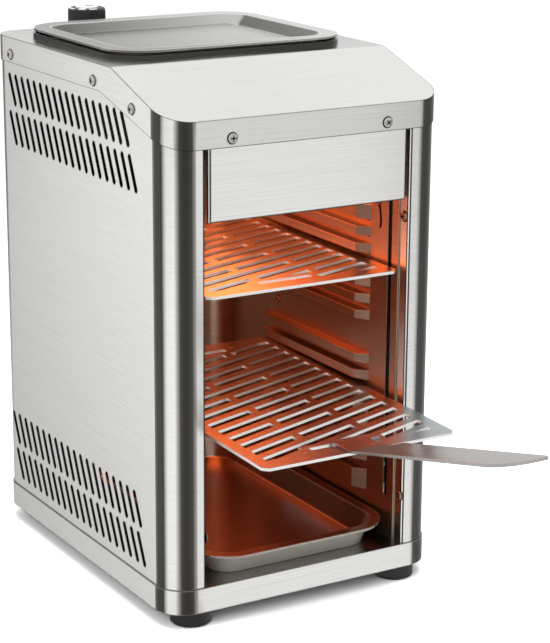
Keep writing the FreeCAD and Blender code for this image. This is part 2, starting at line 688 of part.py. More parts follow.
def bead(wall, low, high):
    """One ramped bead between two crest heights, open at the wall's back edge."""
    crest = f"({WALL_INNER} - bead_depth)"
    ramp_start = "bead_front"
    ramp_end = "bead_front + bead_ramp"

    def section(front, grown, back):
        return rectangle(front, back, f"{low} - {grown}", f"{high} + {grown}")

    outer = loft(wall, "YZ", [(f"{WALL_INNER} + gauge/2", section(ramp_start, "bead_flare", "wall_back")),
                              (crest, section(ramp_end, "0", "wall_back"))])
    shelled = "gauge"
    inner = loft(wall, "YZ", [(WALL_OUTER, section(f"{ramp_start} + {shelled}",
                                                   f"bead_flare - {shelled}", "wall_back + 1")),
                              (f"{crest} + {shelled}", section(f"{ramp_end} + {shelled}",
                                                               f"-{shelled}", "wall_back + 1"))],
                 cut=True)
    return [outer, inner]


def runner_wall():
    wall = start_body("right_runner_wall")
    slab(wall, "YZ", WALL_INNER, WALL_OUTER,
         [rectangle("wall_front", "wall_back", "pan_height", "wall_top")])
    slab(wall, "YZ", f"{WALL_INNER} - gauge", f"{WALL_OUTER} + gauge",
         [chamfered("wall_front + 10", "wall_front + 16", "60", "352", "2"),
          [("41", "304"), ("44.5", "304"), ("42.8", "314", "30"), ("46", "323"),
           ("43", "324.5"), ("39.6", "314", "30")]]
         + screw_holes(wall_screws), cut=True)
    bead(wall, "top_bead_low", "top_bead_high")
    bead(wall, "floor_bead_low", "floor_bead_high")
    for top, count in (("upper_bead_top", "upper_beads"), ("lower_bead_top", "lower_beads")):
        first = bead(wall, f"{top} - bead_height", top)
        repeat(wall, first, "Z_Axis", "bead_pitch", count)
    return wall


right_runner_wall = keep("right_runner_wall", runner_wall())
mirror_piece("left_runner_wall", right_runner_wall)
screws("wall_screws",
       [(f"{side}*{WALL_INNER}", y, z) for side in (-1, 1) for y, z in wall_screws],
       lambda place: Vector(-math.copysign(1, number(place[0])), 0, 0),
       "0.7*screw_head", "0.7*screw_rise", "screw_shank", "screw_length")

# Cavity liner: sides and back of the cooking space in one sheet with rounded corners
liner = start_body("cavity_liner")
side_out = f"{LINER_HALF} + gauge"
slab(liner, "XY", "pan_height", "wall_top", [[
    (f"-({side_out})", "liner_front"), (f"-{LINER_HALF}", "liner_front"),
    (f"-{LINER_HALF}", LINER_BACK, "liner_radius"), (LINER_HALF, LINER_BACK, "liner_radius"),
    (LINER_HALF, "liner_front"), (side_out, "liner_front"),
    (side_out, f"{LINER_BACK} + gauge", "liner_radius + gauge"),
    (f"-({side_out})", f"{LINER_BACK} + gauge", "liner_radius + gauge")]])
PROBE_HEIGHT = "(burner_bottom - probe_drop)"
PROBES = {"thermocouple": "(knob_x - probe_side)", "ignition_electrode": "(knob_x + probe_side)"}
probe_holes = [hole(x, PROBE_HEIGHT, "probe_diameter + screw_gap", 8) for x in PROBES.values()]
slab(liner, "XZ", f"{LINER_BACK} - gauge", f"{LINER_BACK} + 2*gauge",
     [hole("knob_x", "tube_height", "tube_diameter + screw_gap", 16)] + probe_holes, cut=True)
slab(liner, "YZ", f"-({side_out}) - gauge", f"{side_out} + gauge", screw_holes(wall_screws[1:]), cut=True)
keep("cavity_liner", liner)

# Cooking grate: a laser-cut plate with leaning slots, each crossed by one bridge, staggered
# from row to row, and a slot for the handle's hook near each end


def cut_row(x_from, x_to, y_middle):
    half = "(row_slot/2*sqrt(1 + row_slope^2))"
    return [(x_from, f"{y_middle} + row_slope*({x_from}) - {half}"),
            (x_to, f"{y_middle} + row_slope*({x_to}) - {half}"),
            (x_to, f"{y_middle} + row_slope*({x_to}) + {half}"),
            (x_from, f"{y_middle} + row_slope*({x_from}) + {half}")]


def grate(name):
    plate = start_body(name)
    half = GRATE_HALF
    end = f"({GRATE_DEPTH}/2)"
    rim = chamfered(f"-{half}", half, f"-{end}", end, "grate_corner")
    slab(plate, "XY", "-grate_thick", "0", [rim])
    reach = f"({half} - grate_side/2)"
    rows = []
    for row, bridge in ((-9, "bridge_at"), (-8, "-bridge_at")):
        middle = f"{row}*row_pitch"
        rows.append(cut_row(f"-{reach}", f"{bridge} - bridge_width/2", middle))
        rows.append(cut_row(f"{bridge} + bridge_width/2", reach, middle))
    slots = slab(plate, "XY", "-grate_thick - gauge", "gauge", rows, cut=True)
    repeat(plate, [slots], "Y_Axis", "2*row_pitch", "10")
    field = centred(f"{half} - grate_side", f"-{end} + grate_end", f"{end} - grate_end")
    slab(plate, "XY", "-grate_thick", "0", [rim, field])
    for left, right, middle in (("-34", "18", f"-({end} - hook_inset)"),
                                ("-28", "37", f"({end} - hook_inset)")):
        slab(plate, "XY", "-grate_thick", "0",
             [rectangle(f"{left} - hook_land", f"{right} + hook_land",
                        f"{middle} - hook_slot/2 - hook_land", f"{middle} + hook_slot/2 + hook_land")])
        slab(plate, "XY", "-grate_thick - gauge", "gauge",
             [rectangle(left, right, f"{middle} - hook_slot/2", f"{middle} + hook_slot/2")],
             cut=True)
    return plate


upper_grate = grate("upper_grate")
upper_grate.Label = "upper_grate"
bind(upper_grate, "Placement.Base.y", f"upper_front + {GRATE_DEPTH}/2 - origin_depth")
bind(upper_grate, "Placement.Base.z",
     f"upper_bead_top + upper_level*bead_pitch + {FLANK} + lap_gap + grate_thick + foot_height")
pieces["upper_grate"] = upper_grate

# The lower grate is pulled out on its beads and tips until its back edge meets the next
# bead. Its pivot is where its side edges first meet the ramps
PIVOT = "(bead_front + bead_ramp/2)"
LOWER_MIDDLE = f"(lower_front + {GRATE_DEPTH}/2)"
LOWER_TOP = f"(lower_bead_top + (lower_level - 1)*bead_pitch + {FLANK} + lap_gap + grate_thick)"


def on_lower(depth):
    """Height of the lower grate's top face at a depth."""
    return f"({LOWER_TOP} + ({depth} - {PIVOT})*tan(lower_tilt))"


lower_grate = grate("lower_grate")
lower_grate.Label = "lower_grate"
lower_grate.Placement.Rotation = Rotation(Vector(1, 0, 0), number("lower_tilt")).multiply(
    Rotation(Vector(0, 0, 1), 180))
bind(lower_grate, "Placement.Base.y", f"{LOWER_MIDDLE} - origin_depth")
bind(lower_grate, "Placement.Base.z", f"{on_lower(LOWER_MIDDLE)} + foot_height")
pieces["lower_grate"] = lower_grate

# Handle: a flat bar that hooks down through the slot, lies on the grate's border and rises
# towards the hand
HOOK_AT = "(lower_front + hook_inset - 1)"
BEND_AT = "(lower_front - 1)"
BAR_END = f"({BEND_AT} - bar_length*cos(bar_rise))"


def handle_profile():
    """Side outline of the bent bar, upper face first, its corners offset to the thickness."""
    low = f"({on_lower(BEND_AT)} + lap_gap + 0.1)"
    inner = f"({on_lower(HOOK_AT)} + lap_gap + 0.1)"
    fold = "tan(bar_rise/2)"
    hook_fold = "tan(hook_angle/2)"
    hook_low_y = f"({HOOK_AT} + hook_drop*cos(hook_angle))"
    hook_low_z = f"({inner} - hook_drop*sin(hook_angle))"
    thick = "bar_thick"
    end_z = f"({low} + bar_length*sin(bar_rise))"
    return [
        (BAR_END, end_z), (BEND_AT, low, "3"), (HOOK_AT, inner, "0.5"),
        (hook_low_y, hook_low_z),
        (f"{hook_low_y} + {thick}*sin(hook_angle)", f"{hook_low_z} + {thick}*cos(hook_angle)"),
        (f"{HOOK_AT} + {thick}*{hook_fold}", f"{inner} + {thick}", "3"),
        (f"{BEND_AT} + {thick}*{fold}", f"{low} + {thick}", "3"),
        (f"{BAR_END} + {thick}*sin(bar_rise)", f"{end_z} + {thick}*cos(bar_rise)"),
    ]


handle = start_body("grate_handle")
BAR_RIGHT = "(bar_left + bar_width)"
slab(handle, "YZ", "bar_left", BAR_RIGHT, [handle_profile()])
slab(handle, "XY", "0", "hood_top",
     [rectangle(f"{BAR_RIGHT} - bar_neck", f"{BAR_RIGHT} + 1", f"{BEND_AT} - bar_neck_length",
                f"{HOOK_AT} - 2*bar_thick", "3")], cut=True)
slab(handle, "XY", "0", "hood_top",
     [rectangle(f"{BAR_RIGHT} - 2", f"{BAR_RIGHT} + 1", f"{HOOK_AT} - 5*bar_thick",
                f"{HOOK_AT} + hook_drop")], cut=True)


def end_corner(side):
    """Test for the short edge at one corner of the bar's free end."""
    def test(edge):
        middle = edge.CenterOfMass
        return (abs(middle.x - number(side)) < 0.01 and middle.y < number(BAR_END) + 3
                and edge.Length < number("bar_thick") + 0.1)
    return test


round_edges(handle, "bar_corner", end_corner("bar_left"))
round_edges(handle, "bar_small_corner", end_corner(BAR_RIGHT))
keep("grate_handle", handle)


def pressed_tray(name, half, front, back, bottom, height, rim, run, gutter):
    """A pressed tray: turned-down rim, sloping wall, gutter and raised floor."""
    tray = start_body(name)
    top = f"({bottom} + {height})"
    floor = f"({bottom} + gauge)"
    step = f"({rim} + {run} + {gutter})"
    lean = f"gauge*tan(atan(({height} - gauge)/{run})/2)"
    rise = "tray_plateau"

    def loop(inset):
        return centred(f"{half} - ({inset})", f"{front} + {inset}", f"{back} - ({inset})",
                       f"tray_corner - ({inset})")

    loft(tray, "XY", [(bottom, loop(f"{rim} + {run} - {lean}")),
                      (f"{top} - gauge", loop(f"{rim} - {lean}"))])
    slab(tray, "XY", f"{top} - tray_edge", top, [loop("0")])
    slab(tray, "XY", f"{top} - tray_edge - gauge", f"{top} - gauge",
         [loop("gauge"), loop(f"{rim} - {lean}")], cut=True)
    loft(tray, "XY", [(floor, loop(f"{rim} + {run}")), (top, loop(rim))], cut=True)
    loft(tray, "XY", [(floor, loop(step)), (f"{floor} + {rise}", loop(f"{step} + {rise}"))])
    loft(tray, "XY", [(bottom, loop(f"{step} + gauge")),
                      (f"{bottom} + {rise}", loop(f"{step} + {rise} + gauge"))], cut=True)
    return keep(name, tray)


pressed_tray("drip_tray", DRIP_HALF, "drip_front", DRIP_BACK, "(pan_height + seat_gap)",
             "drip_height", "drip_rim", "drip_run", "drip_gutter")
pressed_tray("top_tray", COLLAR_HALF, "(collar_front - plate_over)", f"({COLLAR_BACK} + plate_over)",
             "(deck_top + seat_gap)", "plate_height", "plate_rim", "plate_run", "plate_gutter")

# Slotted deck under the tray opening: its edges stand up against the hood's underside
deck = start_body("tray_support")
DECK_HALF = f"({COLLAR_HALF} + 6)"
DECK_FRONT = "(collar_front - 6)"
DECK_BACK = f"({COLLAR_BACK} + 6)"
slab(deck, "XY", "deck_top - gauge", "hood_top - gauge - lap_gap",
     [chamfered(f"-{DECK_HALF}", DECK_HALF, DECK_FRONT, DECK_BACK, "collar_radius/2")])
slab(deck, "XY", "deck_top", "hood_top",
     [chamfered(f"-({DECK_HALF} - gauge)", f"({DECK_HALF} - gauge)", f"({DECK_FRONT} + gauge)",
                f"({DECK_BACK} - gauge)", "collar_radius/2 - gauge/2")], cut=True)
deck_slot = slab(deck, "XY", "deck_top - 2*gauge", "deck_top + gauge",
                 [chamfered("-88", "-80", f"{DECK_FRONT} + 34", f"{DECK_BACK} - 34", "2.4")], cut=True)
repeat(deck, [deck_slot], "X_Axis", "24", "8")
keep("tray_support", deck)

# Heat shield: a bridge of sheet that stands on the runner walls above the burner
shield = start_body("heat_shield")
SHIELD_TOP = "(wall_top + shield_height)"
slab(shield, "XZ", "wall_front + 20", f"{LINER_BACK} - 5",
     [[(f"-{WALL_OUTER}", "wall_top + lap_gap"), (f"-{WALL_INNER}", "wall_top + lap_gap"),
       (f"-{WALL_INNER}", f"{SHIELD_TOP} - gauge"), (WALL_INNER, f"{SHIELD_TOP} - gauge"),
       (WALL_INNER, "wall_top + lap_gap"), (WALL_OUTER, "wall_top + lap_gap"),
       (WALL_OUTER, SHIELD_TOP), (f"-{WALL_OUTER}", SHIELD_TOP)]])
keep("heat_shield", shield)

# Burner: an open box with two ceramic plaques that glow downwards, held by a window frame
housing = start_body("burner_housing")
slab(housing, "XY", "burner_bottom", "burner_top",
     [centred(BURNER_HALF, "burner_front", BURNER_BACK)])
slab(housing, "XY", "burner_bottom - gauge", "burner_top - gauge",
     [centred(f"{BURNER_HALF} - gauge", "burner_front + gauge", f"{BURNER_BACK} - gauge")], cut=True)
slab(housing, "XZ", f"{BURNER_BACK} - 3*gauge", f"{BURNER_BACK} + gauge",
     [hole("knob_x", "tube_height", "tube_diameter + screw_gap", 16)], cut=True)
keep("burner_housing", housing)

frame_low = "burner_bottom - 2*gauge"
burner_frame = start_body("burner_frame")
windows = [rectangle(left, right, "burner_front + window_rim", f"{BURNER_BACK} - window_rim")
           for left, right in ((f"-{BURNER_HALF} + window_rim", "-window_rim/2"),
                               ("window_rim/2", f"{BURNER_HALF} - window_rim"))]
slab(burner_frame, "XY", frame_low, "burner_bottom - lap_gap",
     [chamfered(f"-({BURNER_HALF} + 2)", f"{BURNER_HALF} + 2", "burner_front - 2",
                f"{BURNER_BACK} + 2", "3")] + windows)
keep("burner_frame", burner_frame)

plaques = []
for left, right in ((f"-{BURNER_HALF} + gauge + plaque_gap", "-plaque_gap/2"),
                    ("plaque_gap/2", f"{BURNER_HALF} - gauge - plaque_gap")):
    plaque = doc.addObject("Part::Box", "plaque")
    bind(plaque, "Length", f"({right}) - ({left})")
    bind(plaque, "Width", f"{BURNER_BACK} - burner_front - 2*gauge - 2*plaque_gap")
    bind(plaque, "Height", "plaque_thick")
    bind(plaque, "Placement.Base.x", left)
    bind(plaque, "Placement.Base.y", "burner_front + gauge + plaque_gap")
    bind(plaque, "Placement.Base.z", "burner_bottom")
    plaques.append(plaque)
ceramic_plaques = doc.addObject("Part::Compound", "ceramic_plaques")
ceramic_plaques.Links = plaques
keep("ceramic_plaques", ceramic_plaques)

# Mixing tube: from behind the liner through its back into the housing
tube = start_body("mixing_tube")
slab(tube, "XZ", f"{BURNER_BACK} - 6", f"{REAR_FACE} - 5",
     [ring("knob_x", "tube_height", "tube_diameter", 16),
      ring("knob_x", "tube_height", "tube_diameter - 2*gauge", 16)])
keep("mixing_tube", tube)

# Four clips that carry the burner between the runner walls
CLIP_Z = "(burner_bottom + 14)"
clip_profile = [
    (f"{BURNER_HALF} + lap_gap", CLIP_Z), (f"{WALL_INNER} - lap_gap", CLIP_Z),
    (f"{WALL_INNER} - lap_gap", f"{CLIP_Z} + 16"), (f"{WALL_INNER} - lap_gap - gauge", f"{CLIP_Z} + 16"),
    (f"{WALL_INNER} - lap_gap - gauge", f"{CLIP_Z} + gauge"),
    (f"{BURNER_HALF} + lap_gap + gauge", f"{CLIP_Z} + gauge"),
    (f"{BURNER_HALF} + lap_gap + gauge", f"{CLIP_Z} + 12"), (f"{BURNER_HALF} + lap_gap", f"{CLIP_Z} + 12"),
]
left_profile = [(f"-({corner[0]})",) + corner[1:] for corner in clip_profile]
clip_solids = []
for front in ("burner_front + 20", f"{BURNER_BACK} - 80"):
    for outline in (clip_profile, left_profile):
        clip = start_body("burner_clip")
        slab(clip, "XZ", front, f"{front} + 20", [outline])
        clip_solids.append(clip)
burner_brackets = doc.addObject("Part::Compound", "burner_brackets")
burner_brackets.Links = clip_solids
keep("burner_brackets", burner_brackets)


def lying(name, steps, x, z, y_from):
    """A turned piece whose axis runs from the front to the back, with twelve sides."""
    shape = None
    level = 0
    for diameter, length in steps:
        width = number(diameter)
        solid = prism(width, width, level, level + number(length), 12)
        shape = solid if shape is None else shape.fuse(solid)
        level += number(length)
    shape = shape.removeSplitter()
    shape.Placement = Placement(Vector(number(x), number(y_from), number(z)),
                                Rotation(Vector(1, 0, 0), -90))
    feature = doc.addObject("Part::Feature", name)
    feature.Shape = Part.makeCompound([shape])
    return keep(name, feature)


# Gas jet: a brass nozzle through the rear panel, pointing into the mixing tube
JET_START = f"({REAR_FACE} - gauge - jet_inside)"
JET_END = f"({JET_START} + jet_length)"
lying("gas_jet", [("jet_diameter/2", "6"), ("jet_diameter", "jet_length - 6")], "knob_x", "tube_height",
      JET_START)
# Thermocouple and electrode: rods through the liner's back, under the plaques' edge
for probe, x in PROBES.items():
    lying(probe, [("probe_diameter/2", "14"), ("probe_diameter", "probe_reach - 14"),
                  ("probe_diameter + 4", "3")],
          x, PROBE_HEIGHT, f"{LINER_BACK} + gauge + lap_gap - probe_reach")

# Valve bracket: stepped out below the hood's skirt, with a shelf for the valve
bracket = start_body("valve_bracket")
foot_y = f"({REAR_FACE} + lap_gap)"
web_y = "(body_depth + lap_gap + 1)"
step_z = "(skirt_bottom - 6)"
slab(bracket, "YZ", "knob_x - shelf_half", "knob_x + shelf_half", [[
    (foot_y, f"{step_z} - 42"), (f"{foot_y} + shelf_thick", f"{step_z} - 42"),
    (f"{foot_y} + shelf_thick", f"{step_z} - shelf_thick"),
    (f"{web_y} + shelf_thick", f"{step_z} - shelf_thick"),
    (f"{web_y} + shelf_thick", "shelf_top - shelf_thick"),
    (f"{KNOB_Y} + 18", "shelf_top - shelf_thick"), (f"{KNOB_Y} + 18", "shelf_top"),
    (web_y, "shelf_top"), (web_y, step_z), (foot_y, step_z)]])
slab(bracket, "XY", "shelf_top - 2*shelf_thick", "shelf_top + shelf_thick",
     [hole("knob_x", KNOB_Y, "stem_diameter + 1", 12)], cut=True)
keep("valve_bracket", bracket)

# Gas valve: a cast body under the shelf, with the inlet nipple to the side and the outlet below
VALVE_TOP = "(shelf_top - shelf_thick - lap_gap)"
valve = start_body("gas_valve")
slab(valve, "XY", f"{VALVE_TOP} - valve_length", VALVE_TOP,
     [ring("knob_x", KNOB_Y, "valve_diameter", 24)])
slab(valve, "YZ", "knob_x", "knob_x + valve_diameter/2 + 8",
     [ring(KNOB_Y, f"{VALVE_TOP} - valve_length/2", "inlet_diameter + 5", 6)])
slab(valve, "XY", f"{VALVE_TOP} - valve_length - 6", f"{VALVE_TOP} - valve_length",
     [ring("knob_x", KNOB_Y, "pipe_diameter + 8", 6)])
slab(valve, "XY", f"{VALVE_TOP} - valve_length/2", "shelf_top",
     [hole("knob_x", KNOB_Y, "stem_diameter + 1", 12)], cut=True)
slab(valve, "XY", f"{VALVE_TOP} - valve_length - 7", f"{VALVE_TOP} - valve_length + 2",
     [hole("knob_x", KNOB_Y, "pipe_diameter + screw_gap", 12)], cut=True)
keep("gas_valve", valve)

inlet = start_body("gas_inlet")
slab(inlet, "YZ", "knob_x + valve_diameter/2 + 8 + lap_gap", "knob_x + valve_diameter/2 + 8 + inlet_length",
     [(KNOB_Y, f"{VALVE_TOP} - valve_length/2", "inlet_diameter"),
      ring(KNOB_Y, f"{VALVE_TOP} - valve_length/2", "inlet_diameter - 6", 12)])
keep("gas_inlet", inlet)

# Gas pipe: from the valve's outlet down and forward to the jet
BEND_RADIUS = 12
BEND_STEPS = 3
PIPE_SIDES = 10


def pipe_ring(y, z, turned):
    """Section of the pipe, square to its run after a turn from straight down."""
    radius = number("pipe_diameter/2")
    lean = Vector(0, math.cos(turned), -math.sin(turned))
    middle = Vector(number("knob_x"), y, z)
    corners = []
    for index in range(PIPE_SIDES):
        angle = 2 * math.pi * index / PIPE_SIDES
        corners.append(middle + Vector(radius * math.cos(angle), 0, 0) + lean * radius * math.sin(angle))
    return Part.makePolygon(corners + corners[:1])


bend_y = number(KNOB_Y) - BEND_RADIUS
bend_z = number("tube_height") + BEND_RADIUS
rings = [pipe_ring(number(KNOB_Y), number(f"{VALVE_TOP} - valve_length + 1"), 0)]
for bend_step in range(BEND_STEPS + 1):
    turned = math.pi / 2 * bend_step / BEND_STEPS
    rings.append(pipe_ring(bend_y + BEND_RADIUS * math.cos(turned),
                           bend_z - BEND_RADIUS * math.sin(turned), turned))
rings.append(pipe_ring(number(f"{JET_END} + seat_gap"), number("tube_height"), math.pi / 2))
gas_pipe = doc.addObject("Part::Feature", "gas_pipe")
gas_pipe.Shape = Part.makeCompound([Part.makeLoft(rings, True, True)])
keep("gas_pipe", gas_pipe)

# Valve stem: stands up through the shelf into the knob
stem = start_body("valve_stem")
slab(stem, "XY", f"{VALVE_TOP} - valve_length/2 + seat_gap", "knob_bottom + knob_height/2",
     [ring("knob_x", KNOB_Y, "stem_diameter", 16)])
keep("valve_stem", stem)

# Knob: a grip with upright flutes, a skirt below and a thin cap on top
knob = start_body("control_knob")
BORE_TOP = "(knob_bottom + knob_height/2 + knob_travel + 1)"
knob_profile = sketch_on(knob, "XZ", KNOB_Y)
draw_outline(knob_profile, [
    ("knob_x + knob_bore/2", "knob_bottom"), ("knob_x + knob_diameter/2", "knob_bottom"),
    ("knob_x + knob_diameter/2", "knob_bottom + knob_skirt"),
    ("knob_x + knob_grip/2", "knob_bottom + knob_skirt"), ("knob_x + knob_grip/2", KNOB_TOP),
    ("knob_x", KNOB_TOP), ("knob_x", BORE_TOP), ("knob_x + knob_bore/2", BORE_TOP)])
turn = knob.newObject("PartDesign::Revolution", "knob_turning")
turn.Profile = knob_profile
knob_axis = sketch_on(knob, "XZ", KNOB_Y)
draw_outline(knob_axis, [("knob_x", "knob_bottom"), ("knob_x", KNOB_TOP)], closed=False)
turn.ReferenceAxis = (knob_axis, ["Edge1"])
settle(knob, turn, 0)
FLUTE_MOUTH = f"{KNOB_Y} + knob_diameter/2 + 1"
flute = slab(knob, "XY", "knob_bottom + knob_skirt", f"{KNOB_TOP} + 1",
             [[("knob_x - flute_width", FLUTE_MOUTH), ("knob_x + flute_width", FLUTE_MOUTH),
               ("knob_x", f"{KNOB_Y} + knob_grip/2 - flute_depth")]], cut=True)
flutes = knob.newObject("PartDesign::PolarPattern", "knob_flutes")
flutes.Originals = [flute]
flutes.Axis = (knob_axis, ["Edge1"])
flutes.Angle = 360
flutes.Occurrences = 20
knob.Tip = flutes
doc.recompute()
keep("control_knob", knob)

cap = start_body("knob_cap")
slab(cap, "XY", f"{KNOB_TOP} + lap_gap", f"{KNOB_TOP} + knob_cap_rise",
     [ring("knob_x", KNOB_Y, "knob_cap", 32)])
keep("knob_cap", cap)

doc.recompute()
for item in doc.Objects:
    if {"Invalid", "Error"} & set(item.State):
        raise ValueError(f"{item.Name} failed: {item.State}")
for name, item in pieces.items():
    shape = item.Shape
    if shape.isNull() or not shape.isValid():
        raise ValueError(f"{name} has no sound shape")
    shape.exportStep(f"parts/{name}.step")
    box = shape.BoundBox
    print(f"{name}: {len(shape.Solids)} solids, {shape.Volume / 1000:.2f} cm3, "
          f"{box.XLength:.1f} x {box.YLength:.1f} x {box.ZLength:.1f} mm")
print(f"{len(pieces)} nodes")
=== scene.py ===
from math import cos, pi, radians, sin

import bmesh
import bpy
from mathutils import Matrix, Vector


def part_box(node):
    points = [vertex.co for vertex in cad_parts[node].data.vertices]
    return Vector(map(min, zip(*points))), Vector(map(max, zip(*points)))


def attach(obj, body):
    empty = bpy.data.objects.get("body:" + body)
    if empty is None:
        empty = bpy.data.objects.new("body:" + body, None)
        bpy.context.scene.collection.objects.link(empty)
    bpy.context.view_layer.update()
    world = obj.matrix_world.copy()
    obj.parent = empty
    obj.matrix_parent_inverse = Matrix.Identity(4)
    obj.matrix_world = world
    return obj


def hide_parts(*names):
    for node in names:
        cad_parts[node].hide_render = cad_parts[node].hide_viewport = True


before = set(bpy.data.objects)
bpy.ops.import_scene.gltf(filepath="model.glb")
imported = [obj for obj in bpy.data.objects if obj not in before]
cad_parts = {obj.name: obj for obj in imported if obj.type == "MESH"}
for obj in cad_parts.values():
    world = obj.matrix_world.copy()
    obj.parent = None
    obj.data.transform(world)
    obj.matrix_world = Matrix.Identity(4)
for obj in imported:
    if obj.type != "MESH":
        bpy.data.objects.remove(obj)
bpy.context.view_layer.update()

# Millimetres of the drawing, whose front plane and base pan edge lie here in the frame
MM = 0.001
FRONT = -45.07
FOOT = 14.0


def at(x, y, z):
    """A point of the drawing, in mm from its front plane and pan edge, in the frame's metres."""
    return Vector((x * MM, (y + FRONT) * MM, (z + FOOT) * MM))


def linear(code):
    """An sRGB hex colour as linear RGBA."""
    shares = [int(code[start:start + 2], 16) / 255 for start in (0, 2, 4)]
    return tuple(share / 12.92 if share <= 0.04045 else ((share + 0.055) / 1.055) ** 2.4
                 for share in shares) + (1.0,)


def add(tree, kind, inputs=None, stops=(), **settings):
    """A node with its inputs and settings, and for a colour ramp stops: places and hex colours.

    An input, by name or index, is a value, an output or a node, which gives its first output.
    """
    made = tree.nodes.new(kind)
    for key, value in settings.items():
        setattr(made, key, value)
    for key, value in (inputs or {}).items():
        source = value.outputs[0] if isinstance(value, bpy.types.Node) else value
        if isinstance(source, bpy.types.NodeSocket):
            tree.links.new(source, made.inputs[key])
        else:
            made.inputs[key].default_value = source
    for index, (place, code) in enumerate(stops):
        marks = made.color_ramp.elements
        mark = marks[index] if index < len(marks) else marks.new(place)
        mark.position = place
        mark.color = linear(code)
    return made


# The mixing node's two colours among its inputs, and the mixed colour among its outputs
FIRST, SECOND, MIXED = 6, 7, 2


def new_material(name):
    """An empty node material, and its tree."""
    material = bpy.data.materials.new(name)
    material.use_nodes = True
    material.node_tree.nodes.clear()
    return material, material.node_tree


def parts(tree, kind, output):
    """X, Y and Z of a vector that a node gives."""
    source = add(tree, kind)
    return add(tree, "ShaderNodeSeparateXYZ", {"Vector": source.outputs[output]}).outputs


# What parts() reads: the face's normal, and the place in the frame
NORMAL = ("ShaderNodeNewGeometry", "Normal")
PLACE = ("ShaderNodeTexCoord", "Object")


def tilt(tree):
    """How far a face leans over: 0 where it stands upright, 1 where it lies."""
    return add(tree, "ShaderNodeMath", {0: parts(tree, *NORMAL)["Z"]}, operation="ABSOLUTE")


# Brushed stainless steel, rolled sheet ground with a belt of about 180 grit. The lines lie
# level on upright faces and run from side to side on flat ones. Real lines are 0.05 mm apart,
# too fine to show, so they are drawn about 0.8 mm apart.
BRUSH_MM = 0.8
BRUSH_LENGTH_MM = 110.0

# How much the patterns change the roughness, down and up: brushed lines, mottling and the
# pebbled skin of moulded pieces
BRUSH_SPREAD = (-0.03, 0.03)
MOTTLE_SPREAD = (-0.05, 0.08)
SKIN_SPREAD = (-0.05, 0.1)

# Sheet edges broken by deburring, so that they catch a thin line of light, and the width of
# sheet over which a bend gets a painted dark line, between these cosines of the angle it has
# turned by
EDGE_MM = 0.7
BEND_MM = 1.5
BEND_START, BEND_FULL = 0.985, 0.9

# A face counts as lying where its normal's Z is beyond the first, up or down, and as sloped,
# not upright, beyond the second. Undersides look down more than the third.
LYING = 0.5
SLOPED = 0.35
UNDERSIDE = -0.7


def brushed_lines(tree):
    """Grey values of the belt's lines, by the face's direction."""
    spot = parts(tree, *PLACE)
    lying = add(tree, "ShaderNodeMath", {0: tilt(tree), 1: LYING}, operation="GREATER_THAN")
    level, deep = [add(tree, "ShaderNodeMix",
                       {"Factor": lying, "A": spot[upright], "B": spot[flat]}, data_type="FLOAT")
                   for upright, flat in (("Z", "Y"), ("Y", "Z"))]
    joined = add(tree, "ShaderNodeCombineXYZ", {"X": spot["X"], "Y": deep, "Z": level})
    long_scale = 1 / (BRUSH_LENGTH_MM * MM)
    sized = add(tree, "ShaderNodeMapping",
                {"Vector": joined, "Scale": (long_scale, long_scale, 1 / (BRUSH_MM * MM))})
    return add(tree, "ShaderNodeTexNoise",
               {"Vector": sized, "Scale": 1.0, "Detail": 4.0, "Roughness": 0.7})


# A side face looks away from the middle where its normal's X times its place's X, in metres,
# is beyond this
AWAY = 0.05


def painted_shade_faces(tree, outward, depth):
    """1 on undersides, and on side faces behind a depth that look away from the middle.

    With outward -1 the side faces are those that look towards it. On all these faces shade is
    painted as a dark grey.
    """
    spot, normal = parts(tree, *PLACE), parts(tree, *NORMAL)
    side = add(tree, "ShaderNodeMath", {0: spot["X"], 1: normal["X"]}, operation="MULTIPLY")
    signed = add(tree, "ShaderNodeMath", {0: side, 1: outward}, operation="MULTIPLY")
    away = add(tree, "ShaderNodeMath", {0: signed, 1: AWAY}, operation="GREATER_THAN")
    behind = add(tree, "ShaderNodeMath", {0: spot["Y"], 1: depth}, operation="GREATER_THAN")
    both = add(tree, "ShaderNodeMath", {0: away, 1: behind}, operation="MULTIPLY")
    under = add(tree, "ShaderNodeMath", {0: normal["Z"], 1: UNDERSIDE}, operation="LESS_THAN")
    return add(tree, "ShaderNodeMath", {0: both, 1: under}, operation="MAXIMUM")


# Painted reflections: upright bands round the folded corners, from the left face over the front
# to the right face: bearings of the face's normal in degrees and greys. None is the front face's
# own grey. The dark and bright bands are painted into the colour, standing in for the studio's
# reflections in the rounded corners, and lie where the real corners show them. The back's
# corners mirror the front's, from 30 degrees on.
LEVEL = "EBEBEB"
PAINTED_REFLECTION_BANDS = ((180.4, LEVEL), (181.5, "A8A8A5"), (184, "6B6B68"), (188, "464643"), (204, "4C4C49"),
         (210, "E0E0DD"), (214, "FFFFFF"), (228, "FFFFFF"), (233, "B8B7B4"), (239, "4E4E4B"),
         (247, "3F3E3B"), (254, "42413D"), (262, "545350"), (267, "C4C3C0"), (269, None),
         (274, None), (278.5, "5E5D5B"), (287, "4F4E4B"), (296, "43423F"), (327, "3C3B39"),
         (337, "66655F"), (343, "FFFFFF"), (348, "8A8986"), (354, "D0CFCC"), (359, LEVEL))


